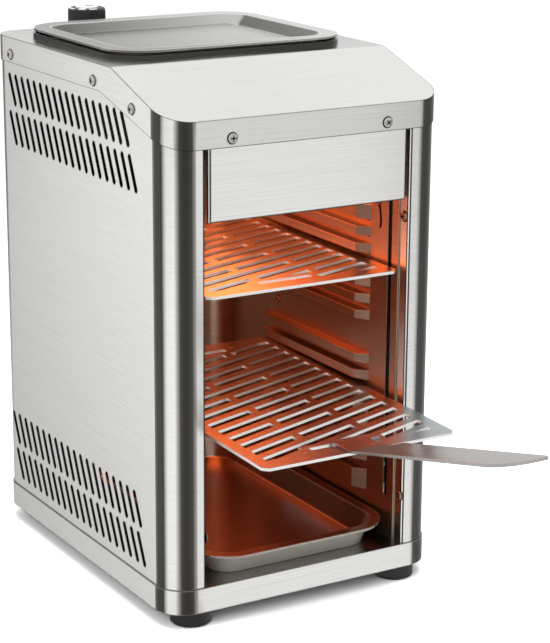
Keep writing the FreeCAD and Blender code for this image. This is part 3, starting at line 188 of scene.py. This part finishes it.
def with_painted_reflections(tree, colour, front_code, lying_code):
    """A colour times the corner bands, on upright faces.

    The bands are painted reflections. The front face and the sloped faces have painted greys of
    their own, for how bright they mirror the room.
    """
    normal = parts(tree, *NORMAL)
    # Below 0 once the normal's Y is over a half, 30 degrees backwards of straight sideways
    mirrored = add(tree, "ShaderNodeMath", {0: normal["Y"], 1: -2.0, 2: 1.0},
                   operation="MULTIPLY_ADD")
    nearer = add(tree, "ShaderNodeMath", {0: normal["Y"], 1: mirrored}, operation="MINIMUM")
    forward = add(tree, "ShaderNodeMath", {0: nearer, 1: 0.0}, operation="MINIMUM")
    bearing = add(tree, "ShaderNodeMath", {0: forward, 1: normal["X"]}, operation="ARCTAN2")
    share = add(tree, "ShaderNodeMapRange", {"Value": bearing, "From Min": -pi, "From Max": 0.0})
    bands = add(tree, "ShaderNodeValToRGB", {"Fac": share},
                [((degree - 180) / 180, code or front_code) for degree, code in PAINTED_REFLECTION_BANDS])
    sloped = add(tree, "ShaderNodeMath", {0: tilt(tree), 1: SLOPED}, operation="GREATER_THAN")
    greys = add(tree, "ShaderNodeMix",
                {"Factor": sloped, FIRST: bands, SECOND: linear(lying_code)}, data_type="RGBA")
    return add(tree, "ShaderNodeMix",
               {"Factor": 1.0, FIRST: colour, SECOND: greys.outputs[MIXED]},
               data_type="RGBA", blend_type="MULTIPLY").outputs[MIXED]


# Painted shade: a dark line along each bend, standing in for the darker reflection there
def painted_dark_bends(tree, colour, code):
    """A colour that turns into a hex colour within a bend's width of an edge."""
    facing = add(tree, "ShaderNodeNewGeometry")
    rounded = add(tree, "ShaderNodeBevel", {"Radius": BEND_MM * MM}, samples=6)
    turn = add(tree, "ShaderNodeVectorMath", {0: facing.outputs["True Normal"], 1: rounded},
               operation="DOT_PRODUCT")
    near = add(tree, "ShaderNodeMapRange", {"Value": turn.outputs["Value"],
                                            "From Min": BEND_START, "From Max": BEND_FULL})
    return add(tree, "ShaderNodeMix", {"Factor": near, FIRST: colour, SECOND: linear(code)},
               data_type="RGBA").outputs[MIXED]


# Pressed trays: how far a face's normal stands up, from 0 downwards to 1 upwards, and the share
# of painted highlight or of painted shade there. At the rounded bends a bright line is painted
# with a dark one beside it, standing in for the light and shade that the bends would catch.
# Outer walls have a normal's Z below OUTER_WALL.
FOLD_MM = 2.4
PAINTED_BEND_HIGHLIGHT = ((0.12, "000000"), (0.17, "FFFFFF"), (0.24, "FFFFFF"), (0.3, "000000"),
              (0.83, "000000"), (0.88, "FFFFFF"), (0.97, "FFFFFF"), (0.995, "000000"))
PAINTED_BEND_SHADE = ((0.0, "D0D0D0"), (0.1, "A0A0A0"), (0.17, "000000"), (0.24, "000000"),
             (0.35, "D0D0D0"), (0.6, "D0D0D0"), (0.72, "000000"))
OUTER_WALL = -0.15


def painted_bend_lines(tree, colour):
    """A colour with the bright and dark lines of a pressed tray's bends."""
    folded = add(tree, "ShaderNodeBevel", {"Radius": FOLD_MM * MM}, samples=6)
    split = add(tree, "ShaderNodeSeparateXYZ", {"Vector": folded})
    rise = add(tree, "ShaderNodeMapRange", {"Value": split.outputs["Z"], "From Min": -1.0})
    for stops, code in ((PAINTED_BEND_SHADE, "3A3937"), (PAINTED_BEND_HIGHLIGHT, "F4F3F0")):
        share = add(tree, "ShaderNodeValToRGB", {"Fac": rise}, stops)
        colour = add(tree, "ShaderNodeMix",
                     {"Factor": share, FIRST: colour, SECOND: linear(code)},
                     data_type="RGBA").outputs[MIXED]
    return colour


def matt_where(tree, faces, shader, code, metallic, roughness):
    """A shader, and a matt one with a hex colour on the faces where a value is 1."""
    matt = add(tree, "ShaderNodeBsdfPrincipled",
               {"Base Color": linear(code), "Metallic": metallic, "Roughness": roughness})
    return add(tree, "ShaderNodeMixShader", {0: faces, 1: shader, 2: matt})


# How deep into the object, in the frame's metres, the hidden inner faces begin; the hidden outer
# ones begin before its front, so all of them count. And the dark grey of the shade painted on
# them.
INNER_DEPTH = -0.02
OUTER_DEPTH = -1.0
PAINTED_SHADE_GREY = "161514"

# Metallic and roughness of a laser-cut edge, which scatters the light, and hex colour, metallic
# and roughness of a tray's outer wall, painted pale and half matt to stand in for the bright
# floor that it would mirror
CUT_FACE = (0.9, 0.35)
PAINTED_PALE_WALL = ("D2CEC6", 0.45, 0.4)

# Depth in metres that a bump of strength 1 has
BUMP_DEPTH = 0.0003


def steel(name, dark, light, roughness, stretch=0.8, depth=0.012, bend=None, hidden=None,
          shade=None, cut=None, front=None, lying=LEVEL, pressed=False):
    """Brushed stainless steel between two greys. Its gloss is stretched across the lines.

    Bends show a painted dark line in their own grey, standing in for the darker reflection where
    the sheet turns too tightly to mirror the room. Hidden faces get painted shade, a dark grey:
    +1 those that look away from the middle, -1 the inner ones, both with the undersides.
    A painted shade is an axis, a place along it, half a width and the hex colour beyond. Cut
    edges are laser-cut faces: pale and matt, in their own grey. With a front's grey the folded
    corners have painted reflection bands, and the sloped faces the lying grey, also painted.
    Pressed trays have painted bright and dark lines at their bends, and outer walls painted pale
    and half matt, standing in for the bright floor that they would mirror.
    """
    material, tree = new_material(name)
    lines = brushed_lines(tree)
    colour = add(tree, "ShaderNodeValToRGB", {"Fac": lines}, [(0.3, dark), (0.7, light)])
    if front:
        colour = with_painted_reflections(tree, colour, front, lying)
    if bend:
        colour = painted_dark_bends(tree, colour, bend)
    if shade:
        axis, place, width, code = shade
        share = add(tree, "ShaderNodeMapRange",
                    {"Value": parts(tree, *PLACE)[axis],
                     "From Min": place - width, "From Max": place + width})
        colour = add(tree, "ShaderNodeMix",
                     {"Factor": share, FIRST: colour, SECOND: linear(code)},
                     data_type="RGBA").outputs[MIXED]
    if pressed:
        colour = painted_bend_lines(tree, colour)
    # Painted shade: the hidden faces and the undersides turn dark grey
    if hidden:
        faces = painted_shade_faces(tree, hidden, OUTER_DEPTH if hidden > 0 else INNER_DEPTH)
        colour = add(tree, "ShaderNodeMix",
                     {"Factor": faces, FIRST: colour, SECOND: linear(PAINTED_SHADE_GREY)},
                     data_type="RGBA").outputs[MIXED]
    worn = add(tree, "ShaderNodeBevel", {"Radius": EDGE_MM * MM}, samples=4)
    bump = add(tree, "ShaderNodeBump", {"Height": lines, "Normal": worn, "Strength": depth,
                                        "Distance": BUMP_DEPTH})
    along = add(tree, "ShaderNodeTangent", direction_type="RADIAL", axis="Z")
    uneven = add(tree, "ShaderNodeMapRange",
                 {"Value": lines, "To Min": roughness + BRUSH_SPREAD[0],
                  "To Max": roughness + BRUSH_SPREAD[1]})
    shader = add(tree, "ShaderNodeBsdfPrincipled",
                 {"Base Color": colour, "Normal": bump, "Tangent": along, "Roughness": uneven,
                  "Metallic": 1.0, "Anisotropic": stretch, "Anisotropic Rotation": 0.25})
    surface = shader
    if cut:
        edges = add(tree, "ShaderNodeMath", {0: tilt(tree), 1: LYING}, operation="LESS_THAN")
        surface = matt_where(tree, edges, shader, cut, *CUT_FACE)
    # Painted light: the outer walls get a pale half-matt finish in place of the floor's reflection
    if pressed:
        outer = add(tree, "ShaderNodeMath", {0: parts(tree, *NORMAL)["Z"], 1: OUTER_WALL},
                    operation="LESS_THAN")
        surface = matt_where(tree, outer, shader, *PAINTED_PALE_WALL)
    add(tree, "ShaderNodeOutputMaterial", {"Surface": surface})
    return material


# Mottling of a turned or drawn metal, about 0.7 mm across. The noise runs over a piece's own
# box, and the widest, the cover's screws, is 270 mm wide.
MOTTLE_MM = 0.675
MOTTLED_BOX_MM = 270


def plain_metal(name, colour, roughness):
    """Plated, drawn or turned metal with faint mottling."""
    material, tree = new_material(name)
    grain = add(tree, "ShaderNodeTexNoise", {"Scale": MOTTLED_BOX_MM / MOTTLE_MM, "Detail": 2.0})
    uneven = add(tree, "ShaderNodeMapRange",
                 {"Value": grain, "To Min": roughness + MOTTLE_SPREAD[0],
                  "To Max": roughness + MOTTLE_SPREAD[1]})
    shader = add(tree, "ShaderNodeBsdfPrincipled",
                 {"Roughness": uneven, "Base Color": linear(colour), "Metallic": 1.0})
    add(tree, "ShaderNodeOutputMaterial", {"Surface": shader})
    return material


def moulded(name, colour, roughness, grain_mm):
    """Rubber, plastic or glaze with a fine pebbled skin."""
    material, tree = new_material(name)
    place = add(tree, "ShaderNodeTexCoord")
    grain = add(tree, "ShaderNodeTexNoise", {"Vector": place.outputs["Object"],
                                             "Scale": 1 / (grain_mm * MM), "Detail": 2.0})
    bump = add(tree, "ShaderNodeBump",
               {"Height": grain, "Strength": 0.15, "Distance": BUMP_DEPTH})
    uneven = add(tree, "ShaderNodeMapRange",
                 {"Value": grain, "To Min": roughness + SKIN_SPREAD[0],
                  "To Max": roughness + SKIN_SPREAD[1]})
    shader = add(tree, "ShaderNodeBsdfPrincipled",
                 {"Normal": bump, "Roughness": uneven, "Base Color": linear(colour), "IOR": 1.5})
    add(tree, "ShaderNodeOutputMaterial", {"Surface": shader})
    return material


# Gas holes of the plaques: 1.4 mm apart, too fine to show, so they are drawn 2.4 mm apart. The
# flame burns unevenly over about 40 mm.
HOLE_MM = 2.4
FLAME_MM = 40


def glowing_ceramic():
    """Porous cordierite plaques, pressed and fired, red hot on the face between their holes."""
    material, tree = new_material("cordierite_glowing")
    place = add(tree, "ShaderNodeTexCoord")
    holes = add(tree, "ShaderNodeTexVoronoi", {"Vector": place.outputs["Object"],
                                               "Scale": 1 / (HOLE_MM * MM), "Randomness": 0.0},
                feature="F1")
    flame = add(tree, "ShaderNodeTexNoise", {"Vector": place.outputs["Object"],
                                             "Scale": 1 / (FLAME_MM * MM), "Detail": 2.0})
    colour = add(tree, "ShaderNodeValToRGB", {"Fac": holes.outputs["Distance"]},
                 [(0.1, "8A2A0A"), (0.45, "FF783E")])
    strength = add(tree, "ShaderNodeMapRange", {"Value": flame, "To Min": 6.0, "To Max": 12.0})
    shader = add(tree, "ShaderNodeBsdfPrincipled",
                 {"Emission Color": colour, "Emission Strength": strength,
                  "Base Color": linear("C9A98A"), "Roughness": 0.9})
    add(tree, "ShaderNodeOutputMaterial", {"Surface": shader})
    return material


# The collar round the tray's opening stands above the hood's flat top; the tray's shadow is
# painted on it as a dark grey above the hood's top
COLLAR_MM = 3.5
HOOD_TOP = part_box("top_cover")[1][2] - COLLAR_MM * MM

# Body and hood: stainless sheet, belt-ground. Fine level lines and a gloss drawn out across them.
# Painted on both: reflection bands at the corners, darker front and sloped greys and dark lines
# at the bends; on the body painted shade on its inner faces and undersides, on the hood the
# tray's shadow painted on its collar.
body_steel = steel("stainless_brushed_body", "F1F0ED", "FFFEFB", 0.23, bend="8C8B88", hidden=-1,
                   front=LEVEL, lying="969592")
hood_steel = steel("stainless_brushed_hood", "F3F2EF", "FFFEFB", 0.23, bend="1E1E1D",
                   shade=("Z", HOOD_TOP, 0.0003, "4A4A48"), front="DADADA")

# Cavity: stainless sheet that the burner's heat has tinted straw brown, so it is warm and dull
# Liner and burner parts: painted shade, a dark grey, on their outward faces and undersides
liner_steel = steel("stainless_heat_tinted_liner", "A69180", "BEA692", 0.36, 0.3, hidden=1)
burner_steel = steel("stainless_heat_stained", "8C847C", "A89F96", 0.4, 0.0, hidden=1)

# Grates: laser-cut stainless plate, grey on its faces and pale and matt round each slot
grate_steel = steel("stainless_laser_cut_grate", "A0A5A6", "B6BBBC", 0.3, 0.3, cut="F2F0EC")

# Trays: pressed stainless, smooth from the die, with broad reflections and painted lines at the
# bends. The drip tray's warm colour is a painted reflection of the glowing cavity, and the top
# tray's dark colour, paling towards the right, a painted reflection of the darker left side of
# the room.
drip_steel = steel("stainless_pressed_drip_tray", "AC9E92", "B4A69A", 0.25, 0.0, 0.001,
                   pressed=True)
plate_steel = steel("stainless_pressed_top_tray", "6E6D6A", "787774", 0.25, 0.0, 0.001,
                    shade=("X", 0.03, 0.11, "D2D1CE"), pressed=True)

# Handle: stainless strip with ground faces, an even satin grey
handle_steel = steel("stainless_ground_handle", "ACA9A6", "B6B3B0", 0.28, 0.3)

# Screws: zinc-plated, with small sharp glints; those in the cavity are coloured a warm brown
screw_steel = plain_metal("zinc_plated_screw", "B8B7B4", 0.14)
warm_screw = plain_metal("warm_brown_screw", "9A7B6A", 0.3)

# Gas parts: turned brass and drawn copper tube, warm with a soft gloss
brass = plain_metal("turned_brass", "C9A663", 0.3)
copper = plain_metal("drawn_copper", "B87352", 0.3)

# Electrode: glazed ceramic, pale with a soft gloss
electrode_ceramic = moulded("glazed_ceramic", "D9D2C4", 0.4, 1.0)

# Feet: moulded rubber, black and matt. Knob: moulded phenolic, black with a satin sheen. Its cap
# is smooth pale plastic.
rubber = moulded("moulded_rubber", "1A1A1A", 0.6, 0.8)
knob_plastic = moulded("moulded_phenolic", "1C1C1C", 0.4, 0.6)
cap_plastic = moulded("printed_plastic_cap", "E4E4E2", 0.35, 0.8)
glowing = glowing_ceramic()

FINISH = {
    body_steel: ("base_pan", "left_side_panel", "right_side_panel", "rear_panel", "fascia_panel"),
    hood_steel: ("top_cover",),
    liner_steel: ("left_runner_wall", "right_runner_wall", "cavity_liner", "tray_support",
                  "heat_shield", "burner_brackets", "valve_bracket"),
    burner_steel: ("burner_housing", "burner_frame", "mixing_tube"),
    grate_steel: ("upper_grate", "lower_grate"),
    handle_steel: ("grate_handle",),
    drip_steel: ("drip_tray",),
    plate_steel: ("top_tray",),
    screw_steel: ("foot_screws", "cover_screws", "jamb_screws", "rear_screws", "wall_screws",
                  "thermocouple", "valve_stem"),
    glowing: ("ceramic_plaques",),
    electrode_ceramic: ("ignition_electrode",),
    brass: ("gas_jet", "gas_valve", "gas_inlet"),
    copper: ("gas_pipe",),
    rubber: ("rubber_feet",),
    knob_plastic: ("control_knob",),
    cap_plastic: ("knob_cap",),
}
for material, names in FINISH.items():
    for name in names:
        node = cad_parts[name]
        if not node.material_slots:
            node.data.materials.append(material)
        for slot in node.material_slots:
            slot.material = material


# Pieces with the detail that the plain solids leave out
def piece(name, mesh, body, slot, *materials):
    """A mesh as a piece of the object that rides on a body."""
    made = bpy.data.objects.new(name, mesh)
    bpy.context.collection.objects.link(made)
    for material in materials:
        mesh.materials.append(material)
    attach(made, body)
    return made


def finished(work, name, smooth=True):
    """A bmesh turned into a mesh, with its faces smooth or flat."""
    bmesh.ops.recalc_face_normals(work, faces=work.faces)
    for face in work.faces:
        face.smooth = smooth
    mesh = bpy.data.meshes.new(name)
    work.to_mesh(mesh)
    work.free()
    return mesh


def turned(work, profile, sides, flute=0.0, fluted=()):
    """Rings of a turned form about Z; each profile point is a radius and a height in mm."""
    rings = []
    for index, (radius, height) in enumerate(profile):
        ring = []
        for side in range(sides):
            cut = flute if index in fluted and side % 2 else 0.0
            angle = 2 * pi * side / sides
            ring.append(work.verts.new(((radius - cut) * cos(angle) * MM,
                                        (radius - cut) * sin(angle) * MM, height * MM)))
        rings.append(ring)
    for lower, upper in zip(rings, rings[1:]):
        for side in range(sides):
            after = (side + 1) % sides
            work.faces.new((lower[side], lower[after], upper[after], upper[side]))
    work.faces.new(rings[-1])


# Cross-recessed pan heads. The recess and the seam round the head are black with shadow.
recess_black = moulded("screw_recess_shadow", "0C0C0C", 0.7, 0.5)

# Profile of a head, as shares of its radius and rise, and half the length and half the width of
# the recess's two arms, as shares of the radius. The recess is cut by blocks, whose height and
# middle are shares of the rise, and its faces lie within a share of the radius. The seam is
# SEAM_MM wide, and its rims lie a little above the sheet, in mm.
HEAD_SIDES = 24
HEAD_PROFILE = ((1.0, 0.0), (1.0, 0.35), (0.96, 0.6), (0.86, 0.8), (0.7, 0.93), (0.45, 1.0))
ARM_LENGTH = 0.62
ARM_WIDTH = 0.11
BLOCK_HEIGHT = 1.6
BLOCK_MIDDLE = 1.05
RECESS_REACH = 0.66
SEAM_MM = 0.85
SEAM_OUTER, SEAM_INNER = 0.04, 0.08

# Each screw was driven to an angle of its own: degrees of the first, and on to each next one
SPIN_FIRST, SPIN_STEP = 23, 41


def pan_head(width, rise):
    """Mesh of a head that stands on the plane z = 0, its recess in the second material."""
    radius = width / 2
    work = bmesh.new()
    turned(work, [(share * radius, height * rise) for share, height in HEAD_PROFILE], HEAD_SIDES)
    dome = bpy.data.objects.new("dome", finished(work, "dome"))
    cross = bmesh.new()
    for long_x, long_y in ((ARM_LENGTH, ARM_WIDTH), (ARM_WIDTH, ARM_LENGTH)):
        made = bmesh.ops.create_cube(cross, size=1)
        size = Vector((2 * long_x * radius, 2 * long_y * radius, BLOCK_HEIGHT * rise)) * MM
        bmesh.ops.scale(cross, vec=size, verts=made["verts"])
        bmesh.ops.translate(cross, vec=(0, 0, BLOCK_MIDDLE * rise * MM), verts=made["verts"])
    cutter = bpy.data.objects.new("cutter", finished(cross, "cutter", False))
    for made in (dome, cutter):
        bpy.context.collection.objects.link(made)
    carve = dome.modifiers.new("recess", "BOOLEAN")
    carve.object = cutter
    carve.operation = "DIFFERENCE"
    carve.solver = "EXACT"
    carve.use_self = True
    bpy.context.view_layer.update()
    graph = bpy.context.evaluated_depsgraph_get()
    carved = bpy.data.meshes.new_from_object(dome.evaluated_get(graph))
    for made in (dome, cutter):
        bpy.data.objects.remove(made)
    # The recess has steep walls, and a floor in the head's lower half
    for face in carved.polygons:
        inside = face.center.xy.length < RECESS_REACH * radius * MM
        sunk = face.normal.z < 0.5 or face.center.z < 0.5 * rise * MM
        face.material_index = int(inside and sunk)
    return carved


def screw_heads(name, node, width, rise, places, metal):
    """Heads at places (x, y, z in drawing mm, outward direction), in place of a screw node."""
    head = pan_head(width, rise)
    work = bmesh.new()
    for index, (x, y, z, outward) in enumerate(places):
        turn = Vector(outward).to_track_quat("Z", "Y").to_matrix().to_4x4()
        spin = Matrix.Rotation(radians(SPIN_FIRST + SPIN_STEP * index), 4, "Z")
        copy = head.copy()
        copy.transform(Matrix.Translation(at(x, y, z)) @ turn @ spin)
        work.from_mesh(copy)
        bpy.data.meshes.remove(copy)
        ring = bmesh.new()
        turned(ring, [(width / 2 + SEAM_MM, SEAM_OUTER), (width / 2, SEAM_INNER)], HEAD_SIDES)
        ring.faces.ensure_lookup_table()
        bmesh.ops.delete(ring, geom=[ring.faces[-1]], context="FACES_ONLY")
        seam = finished(ring, "seam")
        for face in seam.polygons:
            face.material_index = 1
        seam.transform(Matrix.Translation(at(x, y, z)) @ turn)
        work.from_mesh(seam)
        bpy.data.meshes.remove(seam)
    mesh = bpy.data.meshes.new(name)
    work.to_mesh(mesh)
    work.free()
    made = piece(name, mesh, "grill", "screw_steel", metal, recess_black)
    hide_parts(node)


# Directions that the heads face, with each side's outward and inward one, and the heads' width
# and rise in mm
WEST, EAST, SOUTH, NORTH = (-1, 0, 0), (1, 0, 0), (0, -1, 0), (0, 1, 0)
SIDES = ((-1, WEST, EAST), (1, EAST, WEST))
LARGE_HEAD = (8.75, 2.4)
SMALL_HEAD = (6.125, 1.68)
screw_heads("cover_screw_heads", "cover_screws", *LARGE_HEAD,
            [(side * 135, y, z, out) for side, out, inward in SIDES
             for y, z in ((300, 439.5), (130.5, 439.5), (60, 426))]
            + [(x, y, z, out) for y, z, out in ((0, 406.5, SOUTH), (344, 439.5, NORTH))
               for x in (-75, 75)], screw_steel)
screw_heads("jamb_screw_heads", "jamb_screws", *LARGE_HEAD,
            [(side * 99.5, y, z, inward) for side, out, inward in SIDES
             for y, z in ((7.5, 321.5), (5, 67))], warm_screw)
screw_heads("wall_screw_heads", "wall_screws", *SMALL_HEAD,
            [(side * 98.35, y, z, inward) for side, out, inward in SIDES
             for y, z in ((46, 327), (215, 200))], warm_screw)
screw_heads("rear_screw_heads", "rear_screws", *LARGE_HEAD,
            [(side * 99.85, 342.85, z, NORTH) for side in (-1, 1) for z in (66, 380)],
            screw_steel)


# Share of the cooking grates' thickness that is drawn. Faces look up where their normal's Z is
# beyond UPWARD.
GRATE_SHARE = 0.85
UPWARD = 0.9


def thin_plate(name, node, body):
    """A grate's plate drawn thinner below its top face, so that its slots look open."""
    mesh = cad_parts[node].data.copy()
    mesh.name = name
    mesh.materials.clear()
    largest = max(mesh.polygons, key=lambda face: face.area * (face.normal.z > UPWARD))
    up = largest.normal.copy()
    top = max(vertex.co.dot(up) for vertex in mesh.vertices)
    for vertex in mesh.vertices:
        vertex.co += up * (top - vertex.co.dot(up)) * (1 - GRATE_SHARE)
    made = piece(name, mesh, body, "grate_steel", grate_steel)
    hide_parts(node)


thin_plate("upper_grate_plate", "upper_grate", "upper_grate")
thin_plate("lower_grate_plate", "lower_grate", "lower_grate")

# Control knob: moulded with a fine knurl, its top printed with arcs, a disc and a pointer.
# Sizes in mm, heights from the knob's lower edge.
KNOB_X, KNOB_Y, KNOB_Z = -27, 364.5, 447
KNOB_PROFILE = ((17.6, 0.2), (18.5, 0.8), (18.5, 2.6), (18.1, 3.2), (18.1, 3.6), (17.8, 19.4),
                (17.6, 19.8), (17.4, 20.8), (16.6, 21.5), (15.4, 21.7))
KNURL_SIDES = 120
KNURL_DEPTH = 0.45
KNURL_RINGS = (4, 5)

# Printed arcs in steps of about 8 degrees: inner and outer radius, first and last bearing, height
# of the top
ARC_STEP = 8
KNOB_ARCS = ((15.2, 17.2, 15, 200, 22.0), (11.5, 17.2, 216, 240, 22.0),
             (15.2, 17.2, 253, 280, 22.0), (0.5, 10.8, 75, 345, 23.0))
PRINT_FOOT = 21.3
POINTER_TOP = 22.9

# The arcs' outer rims are bevelled: mm inward and downward
RIM_IN, RIM_DOWN = 0.4, 0.3

# Pointer: its direction in degrees, and its corners in mm to the right of that and along it
POINTER_BEARING = 59
POINTER_CORNERS = ((3.4, 13.6), (5.6, 13.0), (10.6, -3.2), (8.2, -4.2))

# White ink: smooth, and a little brighter than the cap
print_white = moulded("knob_print", "F4F4F2", 0.35, 0.8)


def knob_body():
    """The knurled grip above its skirt."""
    work = bmesh.new()
    turned(work, KNOB_PROFILE, KNURL_SIDES, KNURL_DEPTH, KNURL_RINGS)
    mesh = finished(work, "knob_grip_body", False)
    mesh.transform(Matrix.Translation(at(KNOB_X, KNOB_Y, KNOB_Z)))
    made = piece("knob_grip_body", mesh, "knob", "knob_plastic", knob_plastic)
    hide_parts("control_knob")


def knob_marks():
    """The printed top: its arcs and disc, then the pointer."""
    work = bmesh.new()
    for inner, outer, first, last, top in KNOB_ARCS:
        steps = max(3, int((last - first) / ARC_STEP))
        rows = []
        for index in range(steps + 1):
            angle = radians(first + (last - first) * index / steps)
            rows.append([work.verts.new((radius * cos(angle) * MM, radius * sin(angle) * MM,
                                         height * MM))
                         for radius, height in ((outer, PRINT_FOOT), (outer, top - RIM_DOWN),
                                                (outer - RIM_IN, top), (inner, top),
                                                (inner, PRINT_FOOT))])
        for before, after in zip(rows, rows[1:]):
            for index in range(4):
                work.faces.new((before[index], after[index], after[index + 1],
                                before[index + 1]))
        work.faces.new(rows[0])
        work.faces.new(rows[-1])
    far, right = radians(POINTER_BEARING), radians(POINTER_BEARING - 90)
    levels = []
    for height in (PRINT_FOOT, POINTER_TOP):
        levels.append([work.verts.new(((out * cos(right) + away * cos(far)) * MM,
                                       (out * sin(right) + away * sin(far)) * MM, height * MM))
                       for out, away in POINTER_CORNERS])
    for index in range(4):
        after = (index + 1) % 4
        work.faces.new((levels[0][index], levels[0][after], levels[1][after], levels[1][index]))
    work.faces.new(levels[1])
    mesh = finished(work, "knob_top_print", False)
    mesh.transform(Matrix.Translation(at(KNOB_X, KNOB_Y, KNOB_Z)))
    made = piece("knob_top_print", mesh, "knob", "cap_plastic", print_white)
    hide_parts("knob_cap")


knob_body()
knob_marks()


# Studio: white floor and world, two soft lamps, and paper cards that only gloss sees. The floor's
# width is in metres; its white is over 1 to the camera and that of paper to all else.
FLOOR_METRES = 12
FLOOR_SEEN = 1.9
FLOOR_PAPER = 0.85


def floor_material():
    """White paper, lit past white to the camera, so that only the object's near shadow shows."""
    material, tree = new_material("studio_floor")
    path = add(tree, "ShaderNodeLightPath")
    lit, paper = [add(tree, "ShaderNodeBsdfDiffuse", {"Color": (white, white, white, 1)})
                  for white in (FLOOR_SEEN, FLOOR_PAPER)]
    mixed = add(tree, "ShaderNodeMixShader",
                {0: path.outputs["Is Camera Ray"], 1: paper, 2: lit})
    add(tree, "ShaderNodeOutputMaterial", {"Surface": mixed})
    return material


bpy.ops.mesh.primitive_plane_add(size=FLOOR_METRES)
plane = bpy.context.object
plane.name = "floor"
plane.data.materials.append(floor_material())

# Paper cards beside the object that only gloss sees: each lies on the floor between two bearings
# in degrees, seen from a front corner, and stands up at its far end. Metres in the frame.
CORNER_X = 0.108
CORNER_Y = -0.018
CARD_REACH = 1.6
CARD_HEIGHT = 1.5
CARD_STEPS = 8


def card_fan(name, left_x, right_x, first, last, height, material):
    """A strip between two bearings, from one line of the front's corners, and its upright part."""
    near, far = [], []
    for index in range(CARD_STEPS + 1):
        share = index / CARD_STEPS
        bearing = radians(first + (last - first) * share)
        start_x = left_x + (right_x - left_x) * share
        near.append((start_x, CORNER_Y, height))
        far.append((start_x + CARD_REACH * cos(bearing),
                    CORNER_Y + CARD_REACH * sin(bearing), height))
    raised = [(x, y, CARD_HEIGHT) for x, y, _ in far]
    row = CARD_STEPS + 1
    faces = [[index + start, index + start + 1, index + start + 1 + row, index + start + row]
             for start in (0, row) for index in range(CARD_STEPS)]
    mesh = bpy.data.meshes.new(name)
    mesh.from_pydata(near + far + raised, [], faces)
    fan = bpy.data.objects.new(name, mesh)
    bpy.context.collection.objects.link(fan)
    mesh.materials.append(material)
    fan.visible_camera = False
    fan.visible_diffuse = False
    fan.visible_shadow = False
    fan.visible_transmission = False


def card_material(name, strength):
    """White paper card, lit to a strength: a number, or a function that adds its nodes."""
    material, tree = new_material(name)
    lit = strength(tree) if callable(strength) else strength
    card = add(tree, "ShaderNodeEmission", {"Color": (1, 1, 1, 1), "Strength": lit})
    add(tree, "ShaderNodeOutputMaterial", {"Surface": card})
    return material


# Strength of the graded card in the middle, how it changes with each metre to the right and
# with each metre back, and where it stops growing
CARD_MIDDLE, CARD_ACROSS, CARD_BACK, CARD_MOST = 0.54, -1.6, -0.6, 1.05


def graded(tree):
    """Strength of a card that is brighter outward and fainter towards the back."""
    spot = parts(tree, *PLACE)
    across = add(tree, "ShaderNodeMath", {0: spot["X"], 1: CARD_ACROSS, 2: CARD_MIDDLE},
                 operation="MULTIPLY_ADD")
    light = add(tree, "ShaderNodeMath", {0: spot["Y"], 1: CARD_BACK, 2: across},
                operation="MULTIPLY_ADD")
    return add(tree, "ShaderNodeMath", {0: light, 1: CARD_MOST}, operation="MINIMUM")


card_fan("card_side", -CORNER_X, -CORNER_X, 91, 160, 0.001,
         card_material("studio_graded_card", graded))
card_fan("card_front", -0.11, 0.125, 292, 303, 0.003, card_material("studio_front_card", 0.95))

# World: full white to the camera and to gloss, dimmer on matt faces
SKY_SEEN = 1.0
SKY_MATT = 0.55
world = bpy.data.worlds.new("studio")
bpy.context.scene.world = world
world.use_nodes = True
sky = world.node_tree
sky.nodes.clear()
sky_path = add(sky, "ShaderNodeLightPath")
seen = add(sky, "ShaderNodeMath", {0: sky_path.outputs["Is Camera Ray"],
                                   1: sky_path.outputs["Is Glossy Ray"]}, operation="MAXIMUM")
sky_matt, sky_white = [add(sky, "ShaderNodeBackground",
                           {"Color": (1, 1, 1, 1), "Strength": strength})
                       for strength in (SKY_MATT, SKY_SEEN)]
sky_mix = add(sky, "ShaderNodeMixShader", {0: seen, 1: sky_matt, 2: sky_white})
add(sky, "ShaderNodeOutputWorld", {"Surface": sky_mix})


def soft_lamp(name, place, target, size, power, colour=(1, 1, 1)):
    """A rectangular lamp of a size in metres and a power in watts that faces a target."""
    data = bpy.data.lights.new(name, "AREA")
    data.shape = "RECTANGLE"
    data.size, data.size_y = size
    data.energy = power
    data.color = colour
    lamp = bpy.data.objects.new(name, data)
    bpy.context.collection.objects.link(lamp)
    lamp.location = place
    lamp.rotation_euler = (Vector(target) - Vector(place)).to_track_quat("-Z", "Y").to_euler()
    return lamp


for lamp in (soft_lamp("lamp_top", (-0.1, -0.2, 1.9), (0, 0, 0.3), (1.4, 1.4), 16),
             soft_lamp("lamp_left", (-1.6, -1.2, 1.1), (0, 0, 0.25), (1.2, 1.2), 12)):
    lamp.visible_glossy = False

# The plaques' red light as the cavity's walls pass it on below each grate
EMBER = linear("FF6830")[:3]
EMBER_DEPTH = 150
EMBER_SIZE = (0.16, 0.22)
for name, height, power in (("lamp_ember_upper", 262, 0.15), ("lamp_ember_lower", 150, 0.03)):
    ember = soft_lamp(name, at(0, EMBER_DEPTH, height), at(0, EMBER_DEPTH, 0), EMBER_SIZE,
                      power, EMBER)
    ember.visible_camera = False

# Camera: solved from the body's straight edges in the photograph, with a long lens
CAMERA_PLACE = at(-888.8, -1425.4, 714.6)
CAMERA_TARGET = at(-34.05, 0, 247.8)
CAMERA_ROLL = radians(0.3754)
back = (CAMERA_PLACE - CAMERA_TARGET).normalized()
level = Vector((0, 0, 1)).cross(back).normalized()
raised = back.cross(level)
right = cos(CAMERA_ROLL) * level + sin(CAMERA_ROLL) * raised
up = -sin(CAMERA_ROLL) * level + cos(CAMERA_ROLL) * raised
lens = bpy.data.cameras.new("camera")
lens.sensor_width = 36
lens.sensor_fit = "HORIZONTAL"
lens.lens = 135.43
lens.clip_end = 50
camera = bpy.data.objects.new("camera", lens)
bpy.context.collection.objects.link(camera)
camera.matrix_world = Matrix.Translation(CAMERA_PLACE) @ Matrix(
    (right, up, back)).transposed().to_4x4()
bpy.context.scene.camera = camera

bpy.context.scene.view_settings.view_transform = "Standard"
